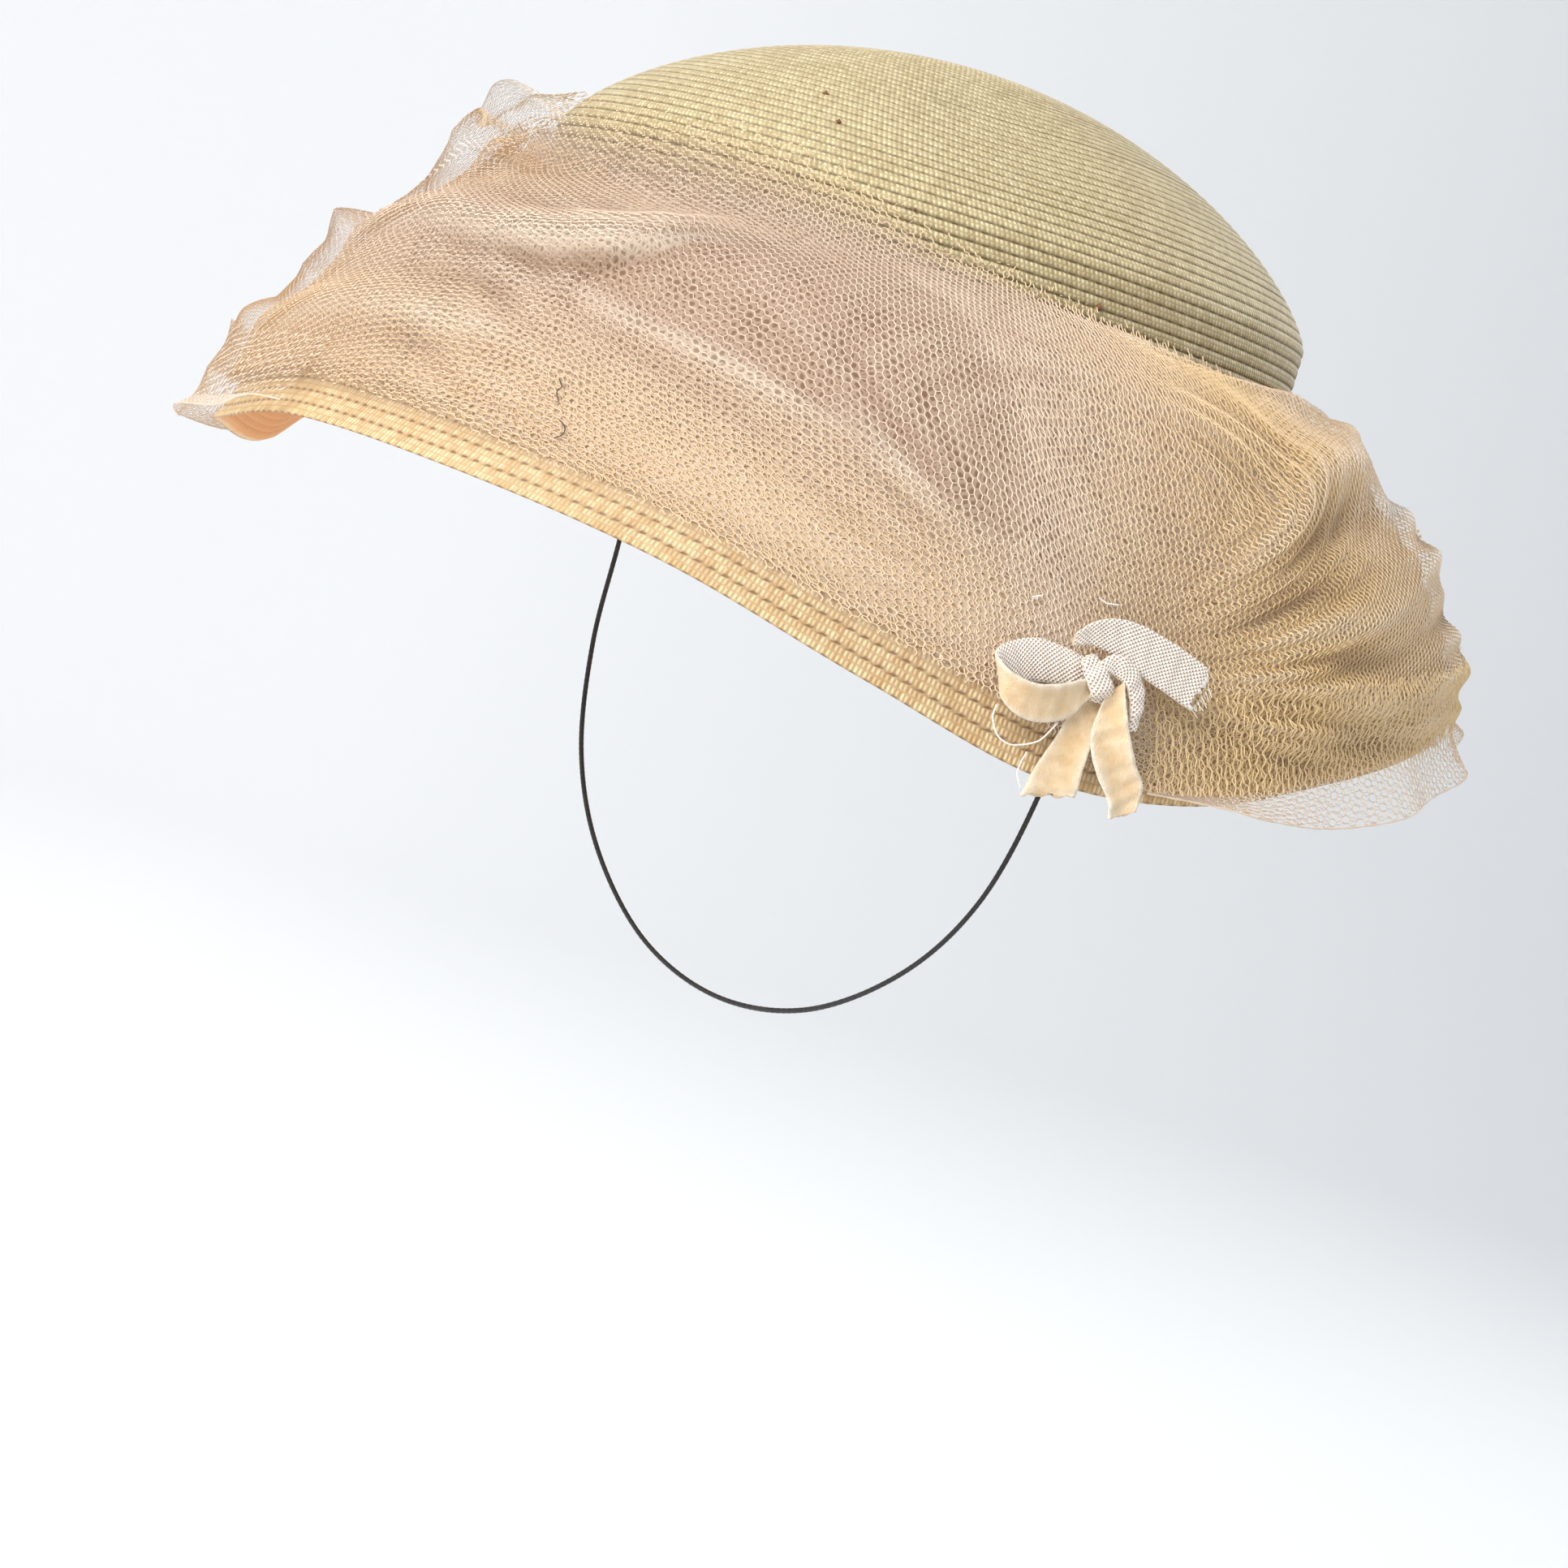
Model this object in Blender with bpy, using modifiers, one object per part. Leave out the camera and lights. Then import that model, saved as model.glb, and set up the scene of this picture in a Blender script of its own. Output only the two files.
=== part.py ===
"""A shallow straw hat with a long drooping brim under folds of net, a velvet ribbon bow and a chin elastic.

Metres, +Z up the crown's axis, the front at -Y and the wearer's left at +X. The origin is the middle of the
head opening, level with the crown's base. A turn is an angle round the hat, in degrees from the front towards
the wearer's left.
"""

import math
from collections import namedtuple

import bpy
import numpy as np

MM = 0.001

# The straw crown: an upright wall under a shallow dome, a little longer than it is wide
CROWN_RADIUS = 90 * MM
CROWN_OVAL = 1.06
CROWN_WALL = 17.5 * MM
CROWN_DOME = 40 * MM
CROWN_HEM = -1.5 * MM
DOME_POWER = 1.35
DOME_SLOPES = (76, 60, 46, 33, 21, 10)  # rings of the dome, and how they close up towards its top
DOME_SPACING = 1.3
STRAW = 1.8 * MM
SEAM_GAP = 0.95 * MM
DENT_TURN = 52
DENT_HEIGHT = 41 * MM
DENT_DEPTH = 2.4 * MM
DENT_SIZE = 24 * MM

# The straw brim: a mushroom that starts level and ends steep
BRIM_CURVE = 1.9
ROUND_RADIUS = 140 * MM  # the hat is round from this mean radius outwards
ROUND_STEPS = 60
BRIM_STEPS = 4

# The net over it
NET = 1.0 * MM
NET_GAP = 0.6 * MM
RIM_WRAP = 2.0 * MM
EDGE_HALF = 0.55
EDGE_EASE = 0.7
EDGE_GAP = 1.0 * MM
NET_PLACES = (0.12, 0.36, 0.62, 0.84)  # where down the brim shoulder, high, middle and low are measured
RIM_EASE = 0.4
SWATHE_STEPS = 96
SWATHE_ROWS = 14
RUFFLE_FROM = 20  # these two count the steps of the net under it
RUFFLE_TO = 89
RUFFLE_ROWS = 2
RUFFLE_PARTS = 4
RUFFLE_GAP = 0.6 * MM
RUFFLE_WAVES = 19
RUFFLE_WAVE = 3.6 * MM
RUFFLE_FADE = 10  # degrees at each end
RUFFLE_SHIFT = 1.4  # its waves are unevenly spaced: they bunch up three times round
RUFFLE_BUNCHES = 3
RUFFLE_OPENS = 1.5  # power by which the waves grow towards the free edge
SLOPE_STEP = 0.01  # the share of a profile over which its slope is taken

# Round the brim, in millimetres. reach: the rim's mean radius. drop: how far the rim lies below the crown's base.
# edge: how far the net's upper edge lies above it. shoulder, high, middle, low: how far the net stands off the
# straw, from the crown out to the rim. frill: how far the ruffle runs on past the rim.
Round = namedtuple("Round", "turn reach drop edge shoulder high middle low frill")
ROUND = (
    Round(-165, 141, 45, 9, 5, 6, 6, 5, 6),
    Round(-135, 142, 49, 13, 6, 7, 7, 6, 6),
    Round(-105, 144, 54, 17, 9, 8, 8, 7, 7),
    Round(-82, 145, 57, 21, 11, 7, 8, 8, 7),
    Round(-69, 146, 60, 23, 12, 7, 6, 8, 6),
    Round(-60, 146, 70, 24, 11, 4, 3, 7, 3),
    Round(-45, 146, 68, 25, 11, 4, 3, 7, 5),
    Round(-28, 146, 66, 25, 9, 5, 4, 4, 4),
    Round(-10, 146, 60.5, 24, 6, 5, 4, 2, 1),
    Round(12, 146, 61, 26, 5, 6, 3, 1, 0),
    Round(32, 146, 66, 22, 5, 6, 3, 0, 0),
    Round(50, 146, 76.5, 14, 5, 5, 3, 0, 0),
    Round(66, 146, 85, 10, 4, 4, 2, 0, 0),
    Round(80, 146, 82.5, 8, 4, 5, 4, 1, 3),
    Round(97, 145, 70.5, 6, 4, 5, 5, 3, 11),
    Round(115, 144, 60, 5, 3, 3, 4, 3, 9),
    Round(135, 141, 53, 5, 2, 2, 2, 3, 4),
    Round(165, 140, 46, 6, 3, 4, 4, 4, 5),
)

# Folds of the net: each is a ridge from one place to another. turn: degrees; down: 0 at the net's upper edge to
# 1 at the rim; height and width in millimetres.
Fold = namedtuple("Fold", "turn_a down_a turn_b down_b height width")
FOLDS = (
    Fold(-114, 0.15, -40, 0.16, 10, 9),
    Fold(-106, 0.29, -22, 0.31, 10, 10),
    Fold(-100, 0.69, 0, 0.60, 7, 8),
    Fold(-92, 0.86, -2, 0.78, 5, 6),
    Fold(-14, 0.47, 20, 0.42, 7, 8),
    Fold(8, 0.45, 60, 0.83, 5, 7),
    Fold(76, 0.80, 150, 0.37, 5, 7),
    Fold(78, 0.87, 160, 0.63, 6, 7),
    Fold(80, 0.90, 165, 0.83, 6, 8),
    Fold(150, 0.33, 262, 0.35, 6, 9),
    Fold(158, 0.58, 262, 0.53, 6, 8),
    Fold(162, 0.82, 268, 0.73, 5, 8),
)
FOLD_FADE = 12
FOLD_LENGTH = 100 * MM  # the net's own length from its upper edge to the rim, for the folds' widths
FOLD_FREE_TOP = 0.08  # folds die out over these shares of it, at the upper edge and at the rim
FOLD_FREE_RIM = 0.06

# The bow: its knot, and the way its face is turned, tipped and rolled
BOW_TURN = 68.3
BOW_OUT = 143.6 * MM
BOW_DROP = 65.5 * MM
BOW_FACE_TURN = 45
BOW_FACE_TIP = -3
BOW_FACE_ROLL = -17
BRIM_ACROSS = -0.49  # how the brim behind the bow comes nearer, across and up the bow's face
BRIM_UP = -0.30
RIBBON = 1.5 * MM
KNOT_MIDDLE = (2.6, 0.0, 0.6)  # millimetres, as the rows below
KNOT_SIZE = (3.5, 3.5, 3.2)

# Each row of a ribbon is its middle on the bow's face, in millimetres across, up and out from the bow's place, and
# the way that its width runs: spin in the face from across towards up, and lean out of the face, in degrees.
Row = namedtuple("Row", "across up out spin lean width")
LOOP = (
    Row(-1.3, -3.4, 2.0, 80, 12, 7.2),
    Row(-7.0, -4.9, 3.2, 82, 26, 8.6),
    Row(-12.0, -4.6, 3.8, 84, 30, 9.0),
    Row(-16.8, -2.2, 3.2, 92, 22, 9.0),
    Row(-19.0, 1.0, 1.8, 96, 8, 9.0),
    Row(-16.6, 2.8, -0.2, 92, 0, 9.0),
    Row(-11.6, 3.4, -1.0, 86, -4, 8.6),
    Row(-6.4, 2.0, -1.0, 82, -4, 7.6),
    Row(-1.8, 0.6, -0.4, 82, 0, 6.0),
)
TAIL_UPPER = (
    Row(-3.8, 7.4, 1.6, 70, 20, 3.0),
    Row(0.0, 8.3, 2.2, 82, 24, 5.4),
    Row(4.2, 7.6, 2.8, 82, 18, 7.8),
    Row(8.4, 5.6, 3.2, 74, 10, 9.0),
    Row(13.2, 2.6, 3.0, 64, 6, 9.2),
    Row(17.8, -0.6, 2.2, 59, 4, 9.2),
    Row(22.2, -4.0, 1.2, 57, 2, 8.8),
)
TAIL_FRONT = (
    Row(1.4, -4.3, -1.0, -8, 4, 5.2),
    Row(-3.2, -11.4, -0.6, -12, 6, 7.4),
    Row(-6.4, -18.0, -0.2, -4, 6, 9.4),
    Row(-9.6, -23.6, 0.4, 4, 6, 11.0),
)
TAIL_BACK = (
    Row(5.9, -3.5, 2.6, 10, 10, 6.0),
    Row(5.4, -8.6, 2.7, 2, 10, 8.8),
    Row(4.8, -14.0, 2.9, -6, 6, 9.0),
    Row(6.0, -20.6, 2.6, -4, 10, 7.6),
    Row(5.3, -27.8, 2.2, -4, 20, 6.0),
)
RIBBONS = {  # each ribbon's rows and how many steps its length is cut into
    "bow_loop": (LOOP, 14),
    "bow_tail_upper": (TAIL_UPPER, 10),
    "bow_tail_front": (TAIL_FRONT, 6),
    "bow_tail_back": (TAIL_BACK, 8),
}

# The chin elastic: a U that starts inside the crown's hem on each side and runs straight, then round
ELASTIC = 1.25 * MM
ELASTIC_POINTS = 60
ELASTIC_FRONT = 5 * MM
ELASTIC_ROUTE = (
    (84.4, 2.0),
    (84.2, -10.0),
    (82.0, -38.0),
    (79.2, -70.0),
    (77.6, -97.0),
    (70.0, -123.5),
    (54.0, -144.5),
    (29.0, -160.5),
    (0.0, -166.0),
)

COLOURS = {
    "straw": ((0.66, 0.55, 0.33), 0.55),
    "straw_brim": ((0.70, 0.55, 0.31), 0.55),
    "net": ((0.60, 0.45, 0.36), 0.8),
    "velvet": ((0.82, 0.66, 0.42), 0.9),
    "elastic": ((0.012, 0.012, 0.013), 0.7),
}


def new_collection(name):
    made = bpy.data.collections.new(name)
    bpy.context.scene.collection.children.link(made)
    return made


def material(name):
    made = bpy.data.materials.get(name)
    if made:
        return made
    colour, roughness = COLOURS[name]
    made = bpy.data.materials.new(name)
    made.use_nodes = True
    shader = made.node_tree.nodes["Principled BSDF"]
    shader.inputs["Base Color"].default_value = (*colour, 1)
    shader.inputs["Roughness"].default_value = roughness
    return made


def round_value(column, turn):
    """A column of ROUND at any turn, on a smooth curve that closes on itself."""
    turns = [row.turn for row in ROUND]
    values = [getattr(row, column) for row in ROUND]
    count = len(turns)
    turn = (turn - turns[0]) % 360 + turns[0]
    here = max(i for i in range(count) if turns[i] <= turn)
    near = [here - 1, here, here + 1, here + 2]
    at = [turns[i % count] + 360 * (i // count) for i in near]
    value = [values[i % count] for i in near]
    span = at[2] - at[1]
    part = (turn - at[1]) / span
    slope_a = (value[2] - value[0]) / (at[2] - at[0]) * span
    slope_b = (value[3] - value[1]) / (at[3] - at[1]) * span
    square, cube = part ** 2, part ** 3
    return (
        (2 * cube - 3 * square + 1) * value[1]
        + (cube - 2 * square + part) * slope_a
        + (3 * square - 2 * cube) * value[2]
        + (cube - square) * slope_b
    ) * MM


def through(points, part):
    """A point of the smooth curve through points, where part runs from 0 to 1."""
    points = np.asarray(points, float)
    place = min(max(part, 0.0), 1.0) * (len(points) - 1)
    here = min(int(place), len(points) - 2)
    u = place - here
    a = points[here - 1] if here else 2 * points[0] - points[1]
    b, c = points[here], points[here + 1]
    d = points[here + 2] if here + 2 < len(points) else 2 * c - b
    return 0.5 * (2 * b + (c - a) * u + (2 * a - 5 * b + 4 * c - d) * u ** 2 + (3 * b - a - 3 * c + d) * u ** 3)


def placed(turn, radius, height):
    """The point at a turn, a mean radius and a height: oval at the crown, round at the rim."""
    ovalness = min(max((ROUND_RADIUS - radius) / (ROUND_RADIUS - CROWN_RADIUS), 0.0), 1.0)
    stretch = 1 + (math.sqrt(CROWN_OVAL) - 1) * ovalness
    angle = math.radians(turn)
    return np.array([radius / stretch * math.sin(angle), -radius * stretch * math.cos(angle), height])


def crown_radius(height):
    up = min(max((height - CROWN_WALL) / CROWN_DOME, 0.0), 1.0)
    return CROWN_RADIUS * math.sqrt(1 - up ** DOME_POWER)


def dented(point):
    """A crown point moved in towards the axis and down where the straw is softly dented."""
    middle = placed(DENT_TURN, crown_radius(DENT_HEIGHT), DENT_HEIGHT)
    depth = DENT_DEPTH * math.exp(-float(((point - middle) ** 2).sum()) / DENT_SIZE ** 2)
    inward = -middle / np.linalg.norm(middle)
    return point + depth * inward


def brim_profile(turn, out):
    """Mean radius and height of the brim's upper face, where out runs from 0 at the crown to 1 at the rim."""
    inner = CROWN_RADIUS + SEAM_GAP
    radius = inner + (round_value("reach", turn) - inner) * out
    return np.array([radius, -round_value("drop", turn) * out ** BRIM_CURVE])


def off_brim(turn, out, lift, past=0.0):
    """A place that stands off the brim by lift, and that lies past the rim by past."""
    here = brim_profile(turn, out)
    along = here - brim_profile(turn, out - SLOPE_STEP)
    along /= np.linalg.norm(along)
    outward = np.array([-along[1], along[0]])
    return here + lift * outward + past * along


def swathe_profile(turn, down):
    """Mean radius and height of the net before its folds, from its upper edge to the rim."""
    edge = round_value("edge", turn)
    lifts = [NET_GAP + round_value(column, turn) for column in ("shoulder", "high", "middle", "low")]
    return through(
        (
            (crown_radius(edge) + EDGE_GAP, edge),
            (crown_radius(EDGE_HALF * edge) + NET_GAP + EDGE_EASE * lifts[0], EDGE_HALF * edge),
            *(off_brim(turn, out, lift) for out, lift in zip(NET_PLACES, lifts)),
            off_brim(turn, 1.0, NET_GAP + RIM_EASE * lifts[3], RIM_WRAP),
        ),
        down,
    )


def fold_lift(turn, down):
    """How far the folds raise the net at a place."""
    total = 0.0
    for fold in FOLDS:
        for lap in (-360, 0, 360):
            part = (turn + lap - fold.turn_a) / (fold.turn_b - fold.turn_a)
            fade = FOLD_FADE / abs(fold.turn_b - fold.turn_a)
            strength = min(max(part / fade, 0.0), 1.0) * min(max((1 - part) / fade, 0.0), 1.0)
            middle = fold.down_a + (fold.down_b - fold.down_a) * part
            across = (down - middle) * FOLD_LENGTH / (fold.width * MM)
            strength = strength * strength * (3 - 2 * strength)
            total += fold.height * MM * strength * math.exp(-across * across)
    hold = min(down / FOLD_FREE_TOP, (1 - down) / FOLD_FREE_RIM, 1.0)
    return total * max(hold, 0.0)


def swathe(turn, down, lift=0.0):
    """Mean radius and height of the net's inner face, raised by lift."""
    here = swathe_profile(turn, down)
    along = swathe_profile(turn, min(down + SLOPE_STEP, 1)) - swathe_profile(turn, max(down - SLOPE_STEP, 0))
    along /= np.linalg.norm(along)
    outward = np.array([-along[1], along[0]])
    return here + (fold_lift(turn, down) + lift) * outward


def ruffle(turn, part):
    """Mean radius and height of the ruffle: its first half lies on the net, and its second half runs past the rim."""
    first, last = (360 * step / SWATHE_STEPS for step in (RUFFLE_FROM, RUFFLE_TO))
    shift = RUFFLE_SHIFT * math.sin(math.radians(turn * RUFFLE_BUNCHES))
    wave = 0.5 + 0.5 * math.sin(math.radians(turn * RUFFLE_WAVES) + shift)
    ends = min((turn - first) / RUFFLE_FADE, (last - turn) / RUFFLE_FADE, 1.0)
    lift = NET + RUFFLE_GAP + RUFFLE_WAVE * wave * part ** RUFFLE_OPENS * ends
    down = min(1 - RUFFLE_ROWS / SWATHE_ROWS * (1 - 2 * part), 1.0)
    here = swathe(turn, down, lift)
    past = round_value("frill", turn) * ends * max(2 * part - 1, 0.0)
    along = brim_profile(turn, 1.0) - brim_profile(turn, 1.0 - SLOPE_STEP)
    return here + past * along / np.linalg.norm(along)


def sheet(name, rows, wall, side, closed, colour, collection, top=None):
    """A wall laid over a grid of points: rows from the top down, each running round the hat."""
    count = len(rows[0])
    points = [tuple(point) for row in rows for point in row]
    faces = []
    for j in range(len(rows) - 1):
        for i in range(count if closed else count - 1):
            k = (i + 1) % count
            faces.append((j * count + i, (j + 1) * count + i, (j + 1) * count + k, j * count + k))
    if top is not None:
        points.append(tuple(top))
        faces += [(len(points) - 1, i, (i + 1) % count) for i in range(count)]
    mesh = bpy.data.meshes.new(name)
    mesh.from_pydata(points, [], faces)
    mesh.validate()
    made = bpy.data.objects.new(name, mesh)
    collection.objects.link(made)
    mesh.shade_smooth()
    mesh.materials.append(material(colour))
    thick = made.modifiers.new("wall", "SOLIDIFY")
    thick.thickness = wall
    thick.offset = side
    return made


def build_crown(collection):
    turns = [360 * i / ROUND_STEPS for i in range(ROUND_STEPS)]
    slopes = [math.radians(a) for a in DOME_SLOPES]
    heights = [CROWN_WALL + CROWN_DOME * math.sin(a) ** DOME_SPACING for a in slopes] + [CROWN_WALL, CROWN_HEM]
    rows = [[dented(placed(t, crown_radius(h), h)) for t in turns] for h in heights]
    top = dented(np.array([0, 0, CROWN_WALL + CROWN_DOME]))
    return sheet("crown", rows, STRAW, -1, True, "straw", collection, top)


def build_brim(collection):
    turns = [360 * i / ROUND_STEPS for i in range(ROUND_STEPS)]
    outs = [j / BRIM_STEPS for j in range(BRIM_STEPS + 1)]
    rows = [[placed(t, *brim_profile(t, out)) for t in turns] for out in outs]
    return sheet("brim", rows, STRAW, -1, True, "straw_brim", collection)


def build_swathe(collection):
    turns = [360 * i / SWATHE_STEPS for i in range(SWATHE_STEPS)]
    downs = [j / SWATHE_ROWS for j in range(SWATHE_ROWS + 1)]
    rows = [[placed(t, *swathe(t, down)) for t in turns] for down in downs]
    return sheet("tulle_swathe", rows, NET, 1, True, "net", collection)


def build_ruffle(collection):
    turns = [360 * i / SWATHE_STEPS for i in range(RUFFLE_FROM, RUFFLE_TO + 1)]
    parts = [j / RUFFLE_PARTS for j in range(RUFFLE_PARTS + 1)]
    rows = [[placed(t, *ruffle(t, part)) for t in turns] for part in parts]
    return sheet("tulle_ruffle", rows, NET, 1, False, "net", collection)


def bow_axes():
    """The bow's across, up and out, as columns."""
    turn, tip, roll = (math.radians(a) for a in (BOW_FACE_TURN, BOW_FACE_TIP, BOW_FACE_ROLL))
    out = np.array([math.sin(turn) * math.cos(tip), -math.cos(turn) * math.cos(tip), math.sin(tip)])
    level = np.array([math.cos(turn), math.sin(turn), 0])
    upright = np.cross(out, level)
    across = level * math.cos(roll) - upright * math.sin(roll)
    return np.stack([across, np.cross(out, across), out], axis=1)


def bow_place(across, up, out):
    """A point of the bow, in millimetres across and up its face and out from the brim behind it."""
    knot = placed(BOW_TURN, BOW_OUT, -BOW_DROP)
    out += BRIM_ACROSS * across + BRIM_UP * up
    return knot + bow_axes() @ (np.array([across, up, out], float) * MM)


def build_ribbon(name, table, steps, collection):
    """A ribbon along the rows of its table."""
    values = [tuple(row) for row in table]
    left, right = [], []
    for i in range(steps + 1):
        across, up, out, spin, lean, wide = through(values, i / steps)
        spin, lean = math.radians(spin), math.radians(lean)
        width = np.array([math.cos(spin) * math.cos(lean), math.sin(spin) * math.cos(lean), math.sin(lean)])
        half = width * wide / 2
        middle = np.array([across, up, out])
        left.append(bow_place(*(middle - half)))
        right.append(bow_place(*(middle + half)))
    middles = [(a + b) / 2 for a, b in zip(left, right)]
    return sheet(name, [left, middles, right], RIBBON, 0, False, "velvet", collection)


def build_knot(collection):
    bpy.ops.mesh.primitive_uv_sphere_add(segments=12, ring_count=8, radius=1)
    knot = bpy.context.object
    knot.name = "bow_knot"
    knot.data.name = "bow_knot"
    for vertex in knot.data.vertices:
        vertex.co = tuple(bow_place(*(np.array(vertex.co) * np.array(KNOT_SIZE) + np.array(KNOT_MIDDLE))))
    knot.data.materials.append(material("velvet"))
    knot.data.shade_smooth()
    for held in list(knot.users_collection):
        held.objects.unlink(knot)
    collection.objects.link(knot)
    return knot


def build_elastic(collection):
    half = [(x * MM, ELASTIC_FRONT, z * MM) for x, z in ELASTIC_ROUTE]
    route = half + [(-x, y, z) for x, y, z in half[-2::-1]]
    curve = bpy.data.curves.new("chin_elastic", "CURVE")
    curve.dimensions = "3D"
    curve.bevel_depth = ELASTIC / 2
    curve.bevel_resolution = 2
    curve.use_fill_caps = True
    spline = curve.splines.new("POLY")
    spline.points.add(ELASTIC_POINTS - 1)
    for i, point in enumerate(spline.points):
        point.co = (*through(route, i / (ELASTIC_POINTS - 1)), 1)
    curve.materials.append(material("elastic"))
    made = bpy.data.objects.new("chin_elastic", curve)
    collection.objects.link(made)
    return made


def main():
    for old in list(bpy.data.objects):
        bpy.data.objects.remove(old, do_unlink=True)
    hat = new_collection("tulle_draped_straw_hat")
    build_crown(hat)
    build_brim(hat)
    build_swathe(hat)
    build_ruffle(hat)
    build_knot(hat)
    for name, (rows, steps) in RIBBONS.items():
        build_ribbon(name, rows, steps, hat)
    build_elastic(hat)


main()
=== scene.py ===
# %% [markdown]
# # A straw hat under folds of net
# The hat has three layers. A stiff straw form comes first, then a gathered length of soft net, and last the
# small things: a velvet bow at the rim and a chin elastic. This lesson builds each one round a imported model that
# gives the sizes. Metres are used throughout, with +Z up the crown, -Y at the hat's front and +X at the wearer's
# left.

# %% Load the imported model
import math

import bpy
import numpy as np
from mathutils import Matrix, Vector


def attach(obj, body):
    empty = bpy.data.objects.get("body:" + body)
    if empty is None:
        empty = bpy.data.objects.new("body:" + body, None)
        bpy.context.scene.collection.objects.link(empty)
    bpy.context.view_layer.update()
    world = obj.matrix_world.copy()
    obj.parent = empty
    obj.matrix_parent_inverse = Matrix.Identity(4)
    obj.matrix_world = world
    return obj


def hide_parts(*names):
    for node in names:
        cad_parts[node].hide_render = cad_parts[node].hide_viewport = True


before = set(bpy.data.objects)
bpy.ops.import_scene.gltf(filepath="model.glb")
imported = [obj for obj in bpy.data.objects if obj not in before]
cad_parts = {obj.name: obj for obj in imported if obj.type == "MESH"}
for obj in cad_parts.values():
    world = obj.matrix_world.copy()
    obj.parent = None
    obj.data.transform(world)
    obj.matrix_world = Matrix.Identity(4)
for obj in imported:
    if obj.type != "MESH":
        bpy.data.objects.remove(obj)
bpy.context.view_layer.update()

MM = 0.001
chance = np.random.default_rng(68)

# %% [markdown]
# ## The camera
# A long lens, one metre away, looks up a little under the rim and is rolled, as the picture shows. A camera can be
# tracked to an empty, but that fixes no roll. So its direction is set from an azimuth, an elevation and a roll, and
# it is turned until the hat's origin lands on its own pixel.

# %% Camera
PICTURE = 1932
ORIGIN_PIXEL = (1121, 388)
CAMERA_AWAY = 1.0
CAMERA_AZIMUTH, CAMERA_ELEVATION, CAMERA_ROLL = 45, -3, 17
PIXELS_PER_UNIT = 5263.16
SENSOR = 36


def way_out(azimuth, elevation):
    """The direction away from the hat at an azimuth from its front and an elevation."""
    return np.array([
        math.sin(azimuth) * math.cos(elevation),
        -math.cos(azimuth) * math.cos(elevation),
        math.sin(elevation),
    ])


def camera_axes():
    """The camera's right, up and back, as rows, and its place."""
    azimuth, elevation, roll = (math.radians(a) for a in (CAMERA_AZIMUTH, CAMERA_ELEVATION, CAMERA_ROLL))
    back = way_out(azimuth, elevation)
    level = np.array([math.cos(azimuth), math.sin(azimuth), 0])
    upright = np.cross(back, level)
    rows = np.array([
        level * math.cos(roll) + upright * math.sin(roll),
        upright * math.cos(roll) - level * math.sin(roll),
        back,
    ])
    middle = PICTURE / 2
    aim = Vector((ORIGIN_PIXEL[0] - middle, middle - ORIGIN_PIXEL[1], -PIXELS_PER_UNIT)).normalized()
    turn = np.array(Vector((0, 0, -1)).rotation_difference(aim).to_matrix())
    return turn @ rows, back * CAMERA_AWAY


def place_camera():
    rows, eye = camera_axes()
    camera = bpy.data.objects.new("camera", bpy.data.cameras.new("camera"))
    camera.data.sensor_width = SENSOR
    camera.data.lens = SENSOR * PIXELS_PER_UNIT / PICTURE
    camera.matrix_world = Matrix.Translation(Vector(eye)) @ Matrix(rows.T.tolist()).to_4x4()
    bpy.context.scene.collection.objects.link(camera)
    bpy.context.scene.camera = camera
    return camera


camera = place_camera()
print("camera", [round(x, 4) for x in camera.location], "lens", round(camera.data.lens, 2))

# %% [markdown]
# ## Meshes and finishes
# Every piece here is made from rows of points, so one helper turns points and faces into a mesh. Named values can
# be kept on the points, and a finish reads them again: how far along a braid a point is, or where it lies in the
# net. Unwrapped pictures could carry the same, but numbers on the points follow every fold by themselves.

# %% Mesh helper
def make_piece(name, points, faces, finishes, values=None, face_finish=None):
    """A mesh from points, faces of one size and finishes, with named vectors on its points. It rides on the hat."""
    mesh = bpy.data.meshes.new(name)
    points = np.asarray(points, np.float32).reshape(-1, 3)
    faces = np.asarray(faces, np.int32)
    mesh.vertices.add(len(points))
    mesh.vertices.foreach_set("co", points.ravel())
    mesh.loops.add(faces.size)
    mesh.loops.foreach_set("vertex_index", faces.ravel())
    mesh.polygons.add(len(faces))
    mesh.polygons.foreach_set("loop_start", np.arange(0, faces.size, faces.shape[1], dtype=np.int32))
    if face_finish is not None:
        mesh.polygons.foreach_set("material_index", np.asarray(face_finish, np.int32))
    mesh.update(calc_edges=True)
    mesh.polygons.foreach_set("use_smooth", np.full(len(faces), True))
    for key, value in (values or {}).items():
        layer = mesh.attributes.new(key, "FLOAT_VECTOR", "POINT")
        layer.data.foreach_set("vector", np.asarray(value, np.float32).ravel())
    for finish in finishes if isinstance(finishes, (list, tuple)) else [finishes]:
        mesh.materials.append(finish)
    piece = bpy.data.objects.new(name, mesh)
    bpy.context.scene.collection.objects.link(piece)
    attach(piece, "root")
    return piece


def grid_faces(rows, columns, closed, looped=False):
    """Faces of a grid of points that is stored row after row. A closed grid joins its last column to its first, and
    a looped one its last row to its first."""
    across = columns if closed else columns - 1
    down = rows if looped else rows - 1
    j, i = np.meshgrid(np.arange(down), np.arange(across), indexing="ij")
    k = (i + 1) % columns
    this_row, next_row = j * columns, (j + 1) % rows * columns
    return np.stack([this_row + i, next_row + i, next_row + k, this_row + k], -1).reshape(-1, 4)


def triangles(piece):
    return sum(len(face.vertices) - 2 for face in piece.data.polygons)


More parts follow.
